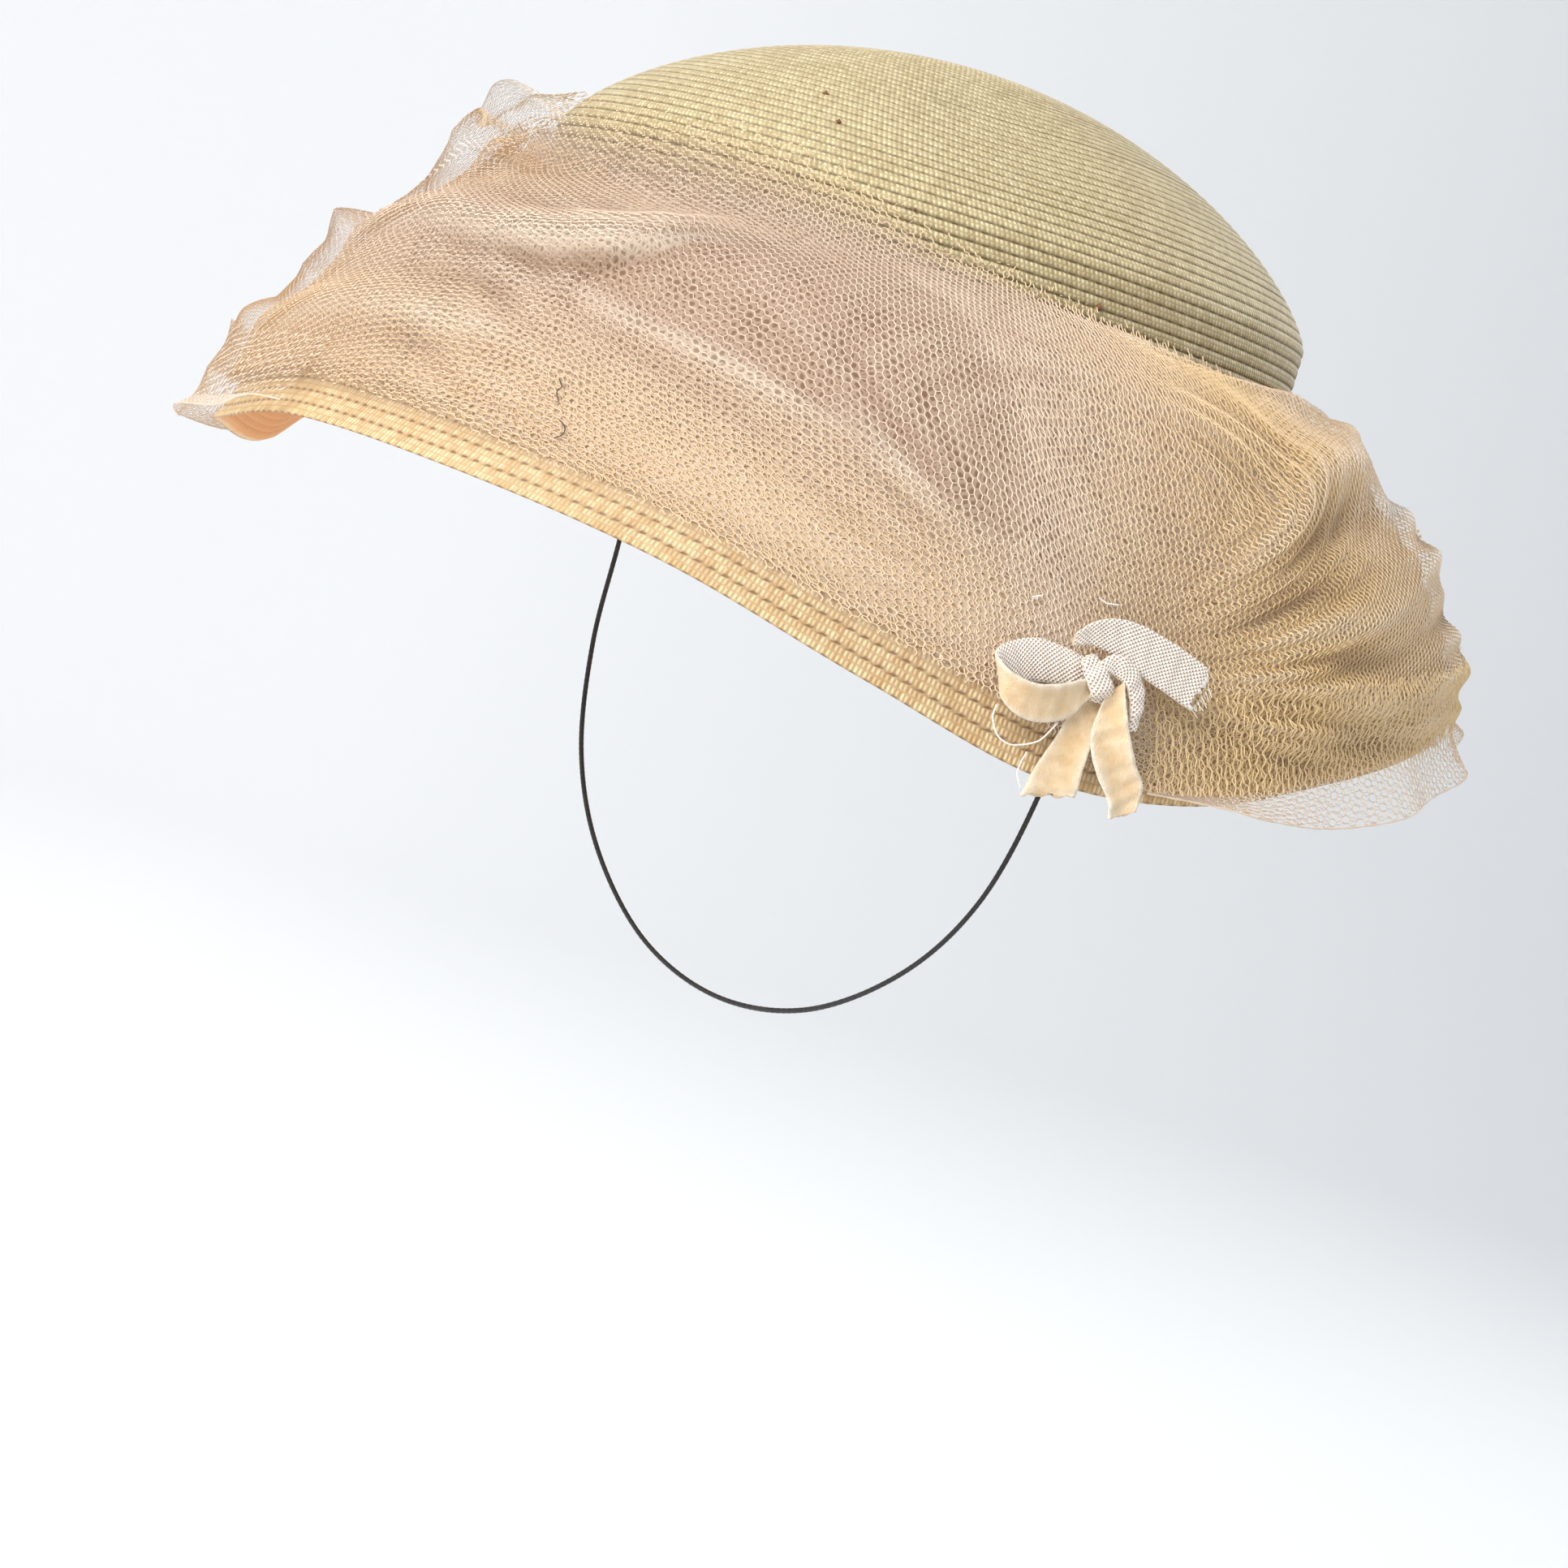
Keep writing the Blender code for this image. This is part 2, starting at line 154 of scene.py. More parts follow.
# %% Finish helpers
def new_finish(name, roughness, sheen=0.0):
    """A finish with its node tree and its shader. Values that are the same all over are set on the shader."""
    made = bpy.data.materials.new(name)
    made.use_nodes = True
    shader = made.node_tree.nodes["Principled BSDF"]
    shader.inputs["Roughness"].default_value = roughness
    shader.inputs["Sheen Weight"].default_value = sheen
    shader.inputs["Sheen Roughness"].default_value = 0.4
    return made, made.node_tree, shader


def feed(tree, socket, value):
    """Gives a socket a number, a colour or another socket's value."""
    if isinstance(value, bpy.types.NodeSocket):
        tree.links.new(value, socket)
    elif isinstance(value, tuple) and len(value) == 3 and socket.type == "RGBA":
        socket.default_value = (*value, 1)
    else:
        socket.default_value = value


def reckon(tree, operation, first, second=0.0, third=0.0):
    node = tree.nodes.new("ShaderNodeMath")
    node.operation = operation
    for socket, value in zip(node.inputs, (first, second, third)):
        feed(tree, socket, value)
    return node.outputs[0]


def times(tree, first, second):
    return reckon(tree, "MULTIPLY", first, second)


def blend_colours(tree, share, first, second):
    node = tree.nodes.new("ShaderNodeMix")
    node.data_type = "RGBA"
    feed(tree, node.inputs["Factor"], share)
    feed(tree, node.inputs[6], first)
    feed(tree, node.inputs[7], second)
    return node.outputs[2]


def split(tree, vector):
    """A vector's three numbers."""
    parts = tree.nodes.new("ShaderNodeSeparateXYZ")
    tree.links.new(vector, parts.inputs[0])
    return parts.outputs[0], parts.outputs[1], parts.outputs[2]


def kept_value(tree, name):
    """The three numbers that a mesh keeps on its points under a name."""
    node = tree.nodes.new("ShaderNodeAttribute")
    node.attribute_name = name
    return split(tree, node.outputs["Vector"])


def own_place(tree):
    """Where a point lies on its own piece, in metres."""
    return tree.nodes.new("ShaderNodeTexCoord").outputs["Object"]


def cloudy(tree, scale, detail=3.0):
    node = tree.nodes.new("ShaderNodeTexNoise")
    node.inputs["Scale"].default_value = scale
    node.inputs["Detail"].default_value = detail
    tree.links.new(own_place(tree), node.inputs["Vector"])
    return node.outputs[0]


def stretch(tree, value, low, high, new_low=0.0, new_high=1.0):
    """A value's stretch from low to high, spread over a new one and held there."""
    node = tree.nodes.new("ShaderNodeMapRange")
    for socket, number in zip(node.inputs, (value, low, high, new_low, new_high)):
        feed(tree, socket, number)
    return node.outputs[0]


def raise_surface(tree, shader, height, distance, strength=1.0):
    node = tree.nodes.new("ShaderNodeBump")
    node.inputs["Strength"].default_value = strength
    node.inputs["Distance"].default_value = distance
    feed(tree, node.inputs["Height"], height)
    tree.links.new(node.outputs[0], shader.inputs["Normal"])


# %% [markdown]
# ## The chin elastic
# A thin black braided elastic is sewn inside the crown on each side and hangs in one loop under the chin. It is a
# round cord, so it could be a curve with a bevel, but then its braid would be paint. Here it is a tube of rings,
# and the strands of the braid are low ridges that wind both ways round it.

# %% Elastic
ELASTIC_THICK = 1.25 * MM
ELASTIC_FRONT = 5 * MM
# One side of the route, from the crown's hem to the lowest point: millimetres across and up.
ELASTIC_ROUTE = (
    (84.4, 2.0), (84.2, -10.0), (82.0, -38.0), (79.2, -70.0), (77.6, -97.0), (70.0, -123.5),
    (54.0, -144.5), (29.0, -160.5), (0.0, -166.0),
)
ELASTIC_RINGS = 900
ELASTIC_SIDES = 10
ELASTIC_PLAIT = 1.5 * MM
ELASTIC_RIDGE = 0.05 * MM


def smooth_between(knots, u):
    """Between the second and the third of four knots of a smooth curve, where u runs from 0 to 1."""
    a, b, c, d = knots
    return 0.5 * (2 * b + (c - a) * u + (2 * a - 5 * b + 4 * c - d) * u ** 2 + (3 * b - a - 3 * c + d) * u ** 3)


def through(points, parts):
    """Points of the smooth curve through points, where parts run from 0 to 1."""
    points = np.asarray(points, float)
    place = np.clip(parts, 0, 1) * (len(points) - 1)
    here = np.minimum(place.astype(int), len(points) - 2)
    u = (place - here).reshape(-1, *[1] * (points.ndim - 1))
    padded = np.concatenate([2 * points[:1] - points[1:2], points, 2 * points[-1:] - points[-2:-1]])
    return smooth_between([padded[here + k] for k in range(4)], u)


def run_lengths(path):
    """How far along a path each of its points is."""
    steps = np.linalg.norm(np.diff(path, axis=0), axis=1)
    return np.concatenate([[0], np.cumsum(steps)])


def tube_rings(path, radius, sides):
    """Rings of points round a path. radius is one number, or a value for each ring and side."""
    path = np.asarray(path, float)
    along = np.gradient(path, axis=0)
    along /= np.linalg.norm(along, axis=1, keepdims=True)
    side = np.cross(along, [0.3, 0.9, 0.2])
    side /= np.linalg.norm(side, axis=1, keepdims=True)
    other = np.cross(along, side)
    angle = 2 * math.pi * np.arange(sides) / sides
    reach = np.broadcast_to(np.asarray(radius, float), (len(path), sides))[..., None]
    ring = side[:, None] * np.cos(angle)[None, :, None] + other[:, None] * np.sin(angle)[None, :, None]
    return path[:, None] + reach * ring


def elastic_finish():
    made, tree, shader = new_finish("black_elastic", 0.62, sheen=0.25)
    shade = stretch(tree, cloudy(tree, 2600), 0.35, 0.7)
    colour = blend_colours(tree, shade, (0.006, 0.006, 0.007), (0.03, 0.029, 0.03))
    feed(tree, shader.inputs["Base Color"], colour)
    raise_surface(tree, shader, cloudy(tree, 5200, 2.0), 0.00006)
    return made


half_route = [(x * MM, ELASTIC_FRONT, z * MM) for x, z in ELASTIC_ROUTE]
whole_route = half_route + [(-x, y, z) for x, y, z in half_route[-2::-1]]
elastic_path = through(whole_route, np.linspace(0, 1, ELASTIC_RINGS))
elastic_run = run_lengths(elastic_path)
winding = 2 * math.pi * elastic_run[:, None] / ELASTIC_PLAIT
round_it = 2 * math.pi * np.arange(ELASTIC_SIDES)[None] / ELASTIC_SIDES
plait = np.cos(winding + 2 * round_it) * np.cos(winding - 2 * round_it)
elastic_rings = tube_rings(elastic_path, ELASTIC_THICK / 2 + ELASTIC_RIDGE * (plait - 0.5), ELASTIC_SIDES)
elastic_faces = grid_faces(ELASTIC_RINGS, ELASTIC_SIDES, True)
elastic = make_piece("elastic_cord", elastic_rings, elastic_faces, elastic_finish())
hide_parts("chin_elastic")
print("elastic", round(float(elastic_run[-1]), 4), "m,", triangles(elastic), "triangles")

# %% [markdown]
# ## The straw crown
# The crown is one long plait of split straw, sewn edge over edge in rows from its top down. It could be a smooth
# dome with painted lines, but the rows catch the light as ridges, also along the outline. So each row is modelled
# with its rounded face and its step to the next row, and only the beads of the plait are left to the finish.

# %% Shape of the crown
CROWN_RADIUS = 90 * MM
CROWN_OVAL = 1.06
CROWN_WALL = 17.5 * MM
CROWN_DOME = 40 * MM
CROWN_HEM = -1.5 * MM
DOME_POWER = 1.35
STRAW = 1.5 * MM
DENT_TURN, DENT_HEIGHT, DENT_DEPTH, DENT_SIZE = 52, 41 * MM, 2.4 * MM, 24 * MM
ROUND_RADIUS = 140 * MM
PINHOLE = 0.05 * MM


def placed(turn, radius, height):
    """Points at turns, mean radii and heights: oval at the crown, round at the rim."""
    turn, radius, height = np.broadcast_arrays(turn, radius, height)
    ovalness = np.clip((ROUND_RADIUS - radius) / (ROUND_RADIUS - CROWN_RADIUS), 0, 1)
    stretched = 1 + (math.sqrt(CROWN_OVAL) - 1) * ovalness
    angle = np.radians(turn)
    return np.stack([radius / stretched * np.sin(angle), -radius * stretched * np.cos(angle), height], -1)


def crown_radius(height):
    up = np.clip((np.asarray(height, float) - CROWN_WALL) / CROWN_DOME, 0, 1)
    return CROWN_RADIUS * np.sqrt(1 - up ** DOME_POWER)


def dented(points):
    """The crown's points, moved in where the straw is softly dented."""
    middle = placed(DENT_TURN, crown_radius(DENT_HEIGHT), DENT_HEIGHT)
    near = np.exp(-((points - middle) ** 2).sum(-1, keepdims=True) / DENT_SIZE ** 2)
    return points - DENT_DEPTH * near * middle / np.linalg.norm(middle)


def crown_line(count):
    """Mean radius and height from the hem up to the middle of the top, evenly spaced."""
    climb = np.linspace(0, math.pi / 2, 700)
    height = CROWN_WALL + CROWN_DOME * np.sin(climb) ** (2 / DOME_POWER)
    dome = np.stack([CROWN_RADIUS * np.cos(climb), height], 1)
    line = np.concatenate([[[CROWN_RADIUS, CROWN_HEM]], dome])
    run = run_lengths(line)
    even = np.linspace(0, run[-1], count)
    return np.stack([np.interp(even, run, line[:, 0]), np.interp(even, run, line[:, 1])], 1), run[-1]


# %% Rows of plait
ROW_PITCH = 2.6 * MM
# Both tables give places across a row, and how far its outer or inner side stands up there.
ROW_FACE = ((0.0, 0.00), (0.1, 0.75), (0.5, 1.0), (0.9, 0.62))
ROW_BACK = ((0.05, 0.3), (0.55, 1.0))
ROW_RELIEF = 0.5 * MM
BACK_RELIEF = 0.25 * MM
BEAD = 1.15 * MM
CROWN_COLUMNS = 224


def outward(line):
    """The direction out of a line of mean radii and heights that runs upwards or inwards."""
    along = np.gradient(line, axis=0)
    along /= np.linalg.norm(along, axis=-1, keepdims=True)
    return np.stack([along[..., 1], -along[..., 0]], -1)


def plait_rows(line, rows, face, relief, lift):
    """Rings across each of the rows: their line with the face's relief on it, and each one's row and bead count."""
    out = outward(line)
    places = np.array([(row + across) / rows for row in range(rows) for across, _ in face])
    heights = np.array([lift + relief * high for _ in range(rows) for _, high in face])
    where = places * (len(line) - 1)
    index = np.arange(len(line))
    ring = np.stack([np.interp(where, index, line[:, k]) for k in range(2)], 1)
    push = np.stack([np.interp(where, index, out[:, k]) for k in range(2)], 1)
    ring = ring + heights[:, None] * push
    ring[:, 0] = np.maximum(ring[:, 0], PINHOLE)
    middles = np.interp((np.floor(places * rows) + 0.5) / rows * (len(line) - 1), index, line[:, 0])
    beads = np.maximum(np.round(2 * math.pi * middles / BEAD), 1)
    return ring, places * rows, beads


RUBBED = (0.0355, -0.0435, 0.0455)  # where the crown is dented and browned
RUBBED_SIZE = 7 * MM


def rubbed_place(tree, place):
    """A share that is above 0 only near the rubbed place, uneven like a stain."""
    apart = tree.nodes.new("ShaderNodeVectorMath")
    apart.operation = "DISTANCE"
    tree.links.new(place, apart.inputs[0])
    apart.inputs[1].default_value = RUBBED
    near = stretch(tree, apart.outputs["Value"], RUBBED_SIZE, 0.0)
    return times(tree, near, stretch(tree, cloudy(tree, 260, 4.0), 0.4, 0.65, 0.0, 0.4))


def straw_finish(name, pale, gold, seam, under, stitches):
    """Plaited straw: two strands of beads to a row, and a seam where one row goes under the next. The tops of the
    beads get a painted highlight and the hollows between them painted shade. stitches darkens the seams in dashes,
    and under is the colour on the straw's inner side; on the brim that holds painted warm light from below."""
    made, tree, shader = new_finish(name, 0.46)
    shader.inputs["Specular IOR Level"].default_value = 0.45
    row, beads, inner = kept_value(tree, "plait")
    place = own_place(tree)
    x, y, _ = split(tree, place)
    turn = reckon(tree, "ARCTAN2", x, times(tree, y, -1.0))
    across = reckon(tree, "FRACT", row)
    strand = times(tree, row, 2.0)
    phase = reckon(tree, "MULTIPLY_ADD", turn, beads, times(tree, strand, 2.4))
    bead = reckon(tree, "MULTIPLY_ADD", reckon(tree, "SINE", phase), 0.5, 0.5)
    hump = reckon(tree, "SINE", times(tree, reckon(tree, "FRACT", strand), math.pi))
    body = times(tree, bead, hump)
    each = tree.nodes.new("ShaderNodeTexWhiteNoise")
    each.noise_dimensions = "2D"
    spot = tree.nodes.new("ShaderNodeCombineXYZ")
    feed(tree, spot.inputs[0], reckon(tree, "FLOOR", reckon(tree, "DIVIDE", phase, 2 * math.pi)))
    feed(tree, spot.inputs[1], reckon(tree, "FLOOR", strand))
    tree.links.new(spot.outputs[0], each.inputs["Vector"])
    tone = reckon(tree, "MULTIPLY_ADD", each.outputs[0], 0.5, times(tree, cloudy(tree, 90), 0.7))
    colour = blend_colours(tree, stretch(tree, tone, 0.25, 0.85), gold, pale)
    # Painted highlight: the tops of the beads are lightened towards a paler straw, more on some beads than others.
    light = tuple(min(1.0, x * 1.3) for x in pale)
    bright = stretch(tree, times(tree, body, each.outputs[0]), 0.25, 0.9, 0.0, 0.8)
    colour = blend_colours(tree, bright, colour, light)
    row_start = stretch(tree, across, 0.0, 0.15, 1.0, 0.0)
    near_seam = reckon(tree, "MAXIMUM", row_start, stretch(tree, across, 0.84, 0.98))
    dash_wave = reckon(tree, "SINE", reckon(tree, "DIVIDE", phase, 3.0))
    dash = stretch(tree, dash_wave, -0.1, 0.4, 1.0 - stitches, 1.0)
    colour = blend_colours(tree, times(tree, near_seam, dash), colour, seam)
    # Painted shade in the hollows between the beads and along the edges of each strand.
    painted_hollow_shade = times(tree, stretch(tree, body, 0.0, 0.35, 1.0, 0.0), 0.38)
    colour = blend_colours(tree, painted_hollow_shade, colour, seam)
    colour = blend_colours(tree, rubbed_place(tree, place), colour, seam)
    feed(tree, shader.inputs["Base Color"], blend_colours(tree, times(tree, inner, 0.85), colour, under))
    grain = reckon(tree, "ADD", body, times(tree, cloudy(tree, 1500, 2.0), 0.5))
    raise_surface(tree, shader, grain, 0.00024, 0.9)
    return made


# %% Crown
PALE_STRAW, OLD_STRAW, STRAW_SEAM = (0.65, 0.54, 0.315), (0.50, 0.39, 0.20), (0.12, 0.085, 0.035)
CROWN_INSIDE = (0.62, 0.43, 0.21)
CROWN_STITCHES = 0.35


def both_sides(outer, inner):
    """The values of each ring of a wall, out along its outer side and back along its inner one."""
    (outer_rows, outer_beads), (inner_rows, inner_beads) = outer, inner
    return np.stack([
        np.concatenate([outer_rows, inner_rows[::-1]]),
        np.concatenate([outer_beads, inner_beads[::-1]]),
        np.concatenate([0 * outer_rows, 1 + 0 * inner_rows]),
    ], 1)


line, crown_run = crown_line(900)
crown_rows = round(crown_run / ROW_PITCH)
front, *front_values = plait_rows(line, crown_rows, ROW_FACE, ROW_RELIEF, -0.2 * MM)
back, *back_values = plait_rows(line, crown_rows, ROW_BACK, -BACK_RELIEF, -STRAW)
crown_profile = np.concatenate([front, back[::-1]])
crown_turns = np.arange(CROWN_COLUMNS) * 360 / CROWN_COLUMNS
crown_points = dented(placed(crown_turns[None], crown_profile[:, :1], crown_profile[:, 1:]))
crown_plait = both_sides(front_values, back_values)
crown_finish = straw_finish("pale_straw", PALE_STRAW, OLD_STRAW, STRAW_SEAM, CROWN_INSIDE, CROWN_STITCHES)
crown_faces = grid_faces(len(crown_profile), CROWN_COLUMNS, True, looped=True)[:, ::-1]
crown = make_piece("straw_crown", crown_points, crown_faces, crown_finish,
                   {"plait": np.repeat(crown_plait[:, None], CROWN_COLUMNS, 1)})
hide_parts("crown")
print("crown", crown_rows, "rows,", triangles(crown), "triangles")

# %% [markdown]
# ## The straw brim
# The brim is the same plait in a deeper gold, sewn on round the crown and blocked to a long drooping mushroom. It
# could be turned like a lathe's work, but the rim hangs at a different depth all the way round. So its sizes come
# from one short table with a row per place, and smooth curves run between the rows.

# %% Sizes round the brim
# Millimetres, with the turn in degrees from the front to the wearer's left. reach and drop place the rim. edge is
# how high the net's upper edge stands on the crown. shoulder, high, middle and low are how far the net stands off
# the straw on its way down, and frill is how far the ruffle runs on past the rim.
ROUND_COLUMNS = ("turn", "reach", "drop", "edge", "shoulder", "high", "middle", "low", "frill")
ROUND = np.array((
    (-165, 141, 45, 9, 5, 6, 6, 5, 6),
    (-135, 142, 49, 13, 6, 7, 7, 6, 6),
    (-105, 144, 54, 17, 9, 8, 8, 7, 7),
    (-82, 145, 57, 21, 11, 7, 8, 8, 7),
    (-69, 146, 60, 23, 12, 7, 6, 8, 6),
    (-60, 146, 70, 24, 11, 4, 3, 7, 3),
    (-45, 146, 68, 25, 11, 4, 3, 7, 5),
    (-28, 146, 66, 25, 9, 5, 4, 4, 4),
    (-10, 146, 60.5, 24, 6, 5, 4, 2, 1),
    (12, 146, 61, 26, 5, 6, 3, 1, 0),
    (32, 146, 66, 22, 5, 6, 3, 0, 0),
    (50, 146, 76.5, 14, 5, 5, 3, 0, 0),
    (66, 146, 85, 10, 4, 4, 2, 0, 0),
    (80, 146, 82.5, 8, 4, 5, 4, 1, 3),
    (97, 145, 70.5, 6, 4, 5, 5, 3, 11),
    (115, 144, 60, 5, 3, 3, 4, 3, 9),
    (135, 141, 53, 5, 2, 2, 2, 3, 4),
    (165, 140, 46, 6, 3, 4, 4, 4, 5),
))


def round_value(column, turn):
    """A column of the table at any turns, on a smooth curve that closes on itself."""
    turns = np.concatenate([ROUND[:, 0] - 360, ROUND[:, 0], ROUND[:, 0] + 360])
    values = np.tile(ROUND[:, ROUND_COLUMNS.index(column)], 3)
    slopes = np.gradient(values, turns)
    slopes[1:-1] = (values[2:] - values[:-2]) / (turns[2:] - turns[:-2])
    turn = np.mod(np.asarray(turn, float) - ROUND[0, 0], 360) + ROUND[0, 0]
    here = np.searchsorted(turns, turn, side="right") - 1
    span = turns[here + 1] - turns[here]
    part = (turn - turns[here]) / span
    square, cube = part ** 2, part ** 3
    return ((2 * cube - 3 * square + 1) * values[here] + (cube - 2 * square + part) * slopes[here] * span
            + (3 * square - 2 * cube) * values[here + 1] + (cube - square) * slopes[here + 1] * span) * MM


# %% Shape of the brim
BRIM_CURVE = 1.9
BRIM_INNER = CROWN_RADIUS + 0.95 * MM
SLOPE_STEP = 0.01


def brim_line(turn, out):
    """Mean radius and height of the brim's upper face, where out runs from 0 at the crown to 1 at the rim."""
    radius = BRIM_INNER + (round_value("reach", turn) - BRIM_INNER) * out
    height = -round_value("drop", turn) * np.power(np.maximum(out, 0), BRIM_CURVE)
    return np.stack(np.broadcast_arrays(radius, height), -1)


def brim_frame(turn, out):
    """A place on the brim, the way down it and the way off it."""
    here = brim_line(turn, out)
    along = here - brim_line(turn, out - SLOPE_STEP)
    along /= np.linalg.norm(along, axis=-1, keepdims=True)
    return here, along, np.stack([-along[..., 1], along[..., 0]], -1)


# %% Brim
BRIM_ROWS = 38
BRIM_COLUMNS = 240
BRIM_BEAD = 1.0 * MM
BRIM_WALL = 1.4 * MM
BRIM_RELIEF = 0.3 * MM
BRIM_FACE = [(1 - across, high) for across, high in reversed(ROW_FACE[1:])] + [(0.97, 0.0)]
RIM_FIRST, RIM_LAST = 0.004, 1.022
GOLD_STRAW, DEEP_STRAW, GOLD_SEAM = (0.77, 0.585, 0.325), (0.62, 0.385, 0.165), (0.17, 0.08, 0.025)
# The brim's underside: its straw's gold, deepened to orange by painted warm light reflected from below and shining
# through.
BRIM_UNDERSIDE_AND_PAINTED_WARM_LIGHT = (0.88, 0.38, 0.10)
BRIM_STITCHES = 0.85


def brim_rings(face, relief, lift):
    """Rings of the brim's rows: points, rows and bead counts. The relief stands off its upper or lower side."""
    turn = np.arange(BRIM_COLUMNS) * 360 / BRIM_COLUMNS
    rings, rows, beads = [], [], []
    for row in range(BRIM_ROWS):
        for across, high in face:
            out = RIM_FIRST + (RIM_LAST - RIM_FIRST) * (row + across) / BRIM_ROWS
            here, _, off = brim_frame(turn, np.full(BRIM_COLUMNS, out))
            here = here + (lift + relief * high) * off
            rings.append(placed(turn, here[:, 0], here[:, 1]))
            rows.append(row + across)
            middle = CROWN_RADIUS + (ROUND_RADIUS - CROWN_RADIUS) * (row + 0.5) / BRIM_ROWS
            beads.append(round(2 * math.pi * middle / BRIM_BEAD))
    return np.array(rings), np.array(rows), np.array(beads)


upper, *upper_values = brim_rings(BRIM_FACE, BRIM_RELIEF, -BRIM_RELIEF)
lower, *lower_values = brim_rings(ROW_BACK, -BACK_RELIEF, -BRIM_WALL)
brim_points = np.concatenate([upper, lower[::-1]])
brim_plait = both_sides(upper_values, lower_values)
brim_faces = grid_faces(len(brim_points), BRIM_COLUMNS, True, looped=True)
brim_finish = straw_finish("gold_straw", GOLD_STRAW, DEEP_STRAW, GOLD_SEAM, BRIM_UNDERSIDE_AND_PAINTED_WARM_LIGHT, BRIM_STITCHES)
brim = make_piece("straw_brim", brim_points, brim_faces, brim_finish,
                  {"plait": np.repeat(brim_plait[:, None], BRIM_COLUMNS, 1)})
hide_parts("brim")
print("brim", BRIM_ROWS, "rows,", triangles(brim), "triangles")

# %% [markdown]
# ## The shape of the net
# A long length of soft hexagonal net is gathered round the brim. It stands off the straw, lies in folds that run to
# the bow, and wraps over the rim. Cloth simulation would drape it too, but into folds of its own, and these have to
# lie as the real ones do. So the folds come from a table. Real net like this is several open plies, and one shape
# serves them all: each ply is placed by its turn, by how far down it lies, and by its loft, which is its share of
# the way out to the outer ply.

# %% Folds
NET_GAP, EDGE_GAP, EDGE_HALF, EDGE_EASE = 0.6 * MM, 1.0 * MM, 0.55, 0.7
NET_PLACES = (0.12, 0.36, 0.62, 0.84)
RIM_WRAP = 2.0 * MM
RIM_EASE = 0.4
# Each fold has its turns in degrees, its places down the net at those turns, its height and width in millimetres,
# and how much steeper its lower side is.
FOLDS = (
    ((-114, -78, -40), (0.15, 0.17, 0.16), 10, 9, 1.0),
    ((-106, -66, -22), (0.32, 0.33, 0.32), 9.5, 9, 1.0),
    ((-100, -60, -18, 0), (0.69, 0.66, 0.60, 0.60), 7, 8, 1.5),
    ((-14, 1, 8, 15, 19, 21, 26), (0.615, 0.60, 0.585, 0.55, 0.51, 0.45, 0.37), 6, 6, 2.2),
    ((-40, -19, -5, 3, 14), (0.72, 0.70, 0.67, 0.66, 0.65), 1.5, 4, 2.0),
    ((-92, -50, -17, -2, 12), (0.86, 0.85, 0.80, 0.78, 0.76), 4.5, 6, 1.8),
    ((8, 22, 38, 49, 60), (0.655, 0.68, 0.70, 0.73, 0.79), 0.9, 5, 2.0),
    ((76, 96, 124, 150), (0.80, 0.56, 0.44, 0.37), 5, 7, 1.2),
    ((78, 95, 125, 160), (0.87, 0.76, 0.70, 0.63), 6, 7, 1.2),
    ((80, 100, 130, 165), (0.90, 0.87, 0.85, 0.83), 6, 8, 1.2),
    ((150, 205, 262), (0.33, 0.36, 0.35), 6, 9, 1.0),
    ((158, 210, 262), (0.58, 0.55, 0.53), 6, 8, 1.0),
    ((162, 214, 268), (0.82, 0.77, 0.73), 5, 8, 1.0),
)
FOLD_LENGTH = 100 * MM
FOLD_FADE = 12
FOLD_FREE_TOP, PLEAT_FREE_TOP, FREE_RIM = 0.08, 0.12, 0.06
BOW_TURN = 68.3
BOW_DOWN = 0.84
PLEAT_SPREAD, PLEAT_REACH = 0.07, 42


def smooth_step(value, low, high):
    part = np.clip((value - low) / (high - low), 0, 1)
    return part * part * (3 - 2 * part)


def from_front(turn):
    """A turn as a number from -180 at the back, over the right, to 180."""
    return np.mod(np.asarray(turn, float) + 180, 360) - 180


def span(value, low, low_end, high_end, high):
    """1 from low_end to high_end, and smoothly down to 0 at low and at high."""
    return smooth_step(value, low, low_end) * (1 - smooth_step(value, high_end, high))


def fold_lift(turn, down):
    """How far the large folds raise the net."""
    total = np.zeros(np.broadcast(turn, down).shape)
    for turns, downs, height, width, steep in FOLDS:
        middle = (turns[0] + turns[-1]) / 2
        here = from_front(turn - middle) + middle
        strength = span(here, turns[0], turns[0] + FOLD_FADE, turns[-1] - FOLD_FADE, turns[-1])
        off = (down - np.interp(here, turns, downs)) * FOLD_LENGTH / (width * MM)
        total += height * MM * strength * np.exp(-(off * np.where(off > 0, steep, 1.0)) ** 2)
    hold = np.clip(np.minimum(down / FOLD_FREE_TOP, (1 - down) / FREE_RIM), 0, 1)
    return total * hold


def pleat_lift(turn, down):
    """How far the fine pleats raise the net. They all draw together at the bow and spread out away from it."""
    behind = from_front(turn - BOW_TURN)
    away = np.abs(behind)
    spread = PLEAT_SPREAD + (1 - PLEAT_SPREAD) * (1 - np.exp(-(away / PLEAT_REACH) ** 1.7))
    spread = spread + (1 - spread) * (1 - smooth_step(down, 0.3, 0.66))
    across = (down - BOW_DOWN) / spread
    drift = 0.35 * np.sin(np.radians(2.1 * turn + 30)) + 0.22 * np.sin(np.radians(5.3 * turn))
    coarse = np.sin(2 * math.pi * (4.3 * across + drift))
    patchy = 0.6 + 0.4 * np.sin(np.radians(9 * turn + 40))
    fine = np.sin(2 * math.pi * (11.7 * across - 2.3 * drift + 0.3)) * patchy
    right = span(behind, 2, 26, 120, 170)
    tall = (0.35 + 1.2 * right * smooth_step(down, 0.1, 0.4)) * MM
    hold = np.clip(np.minimum(down / PLEAT_FREE_TOP, (1 - down) / FREE_RIM), 0, 1) * np.clip(spread * 3.2, 0, 1)
    return tall * hold * (0.5 * coarse + 0.5 * fine)


RELIEF_STEP = 0.035
RELIEF_FULL = 1.4 * MM


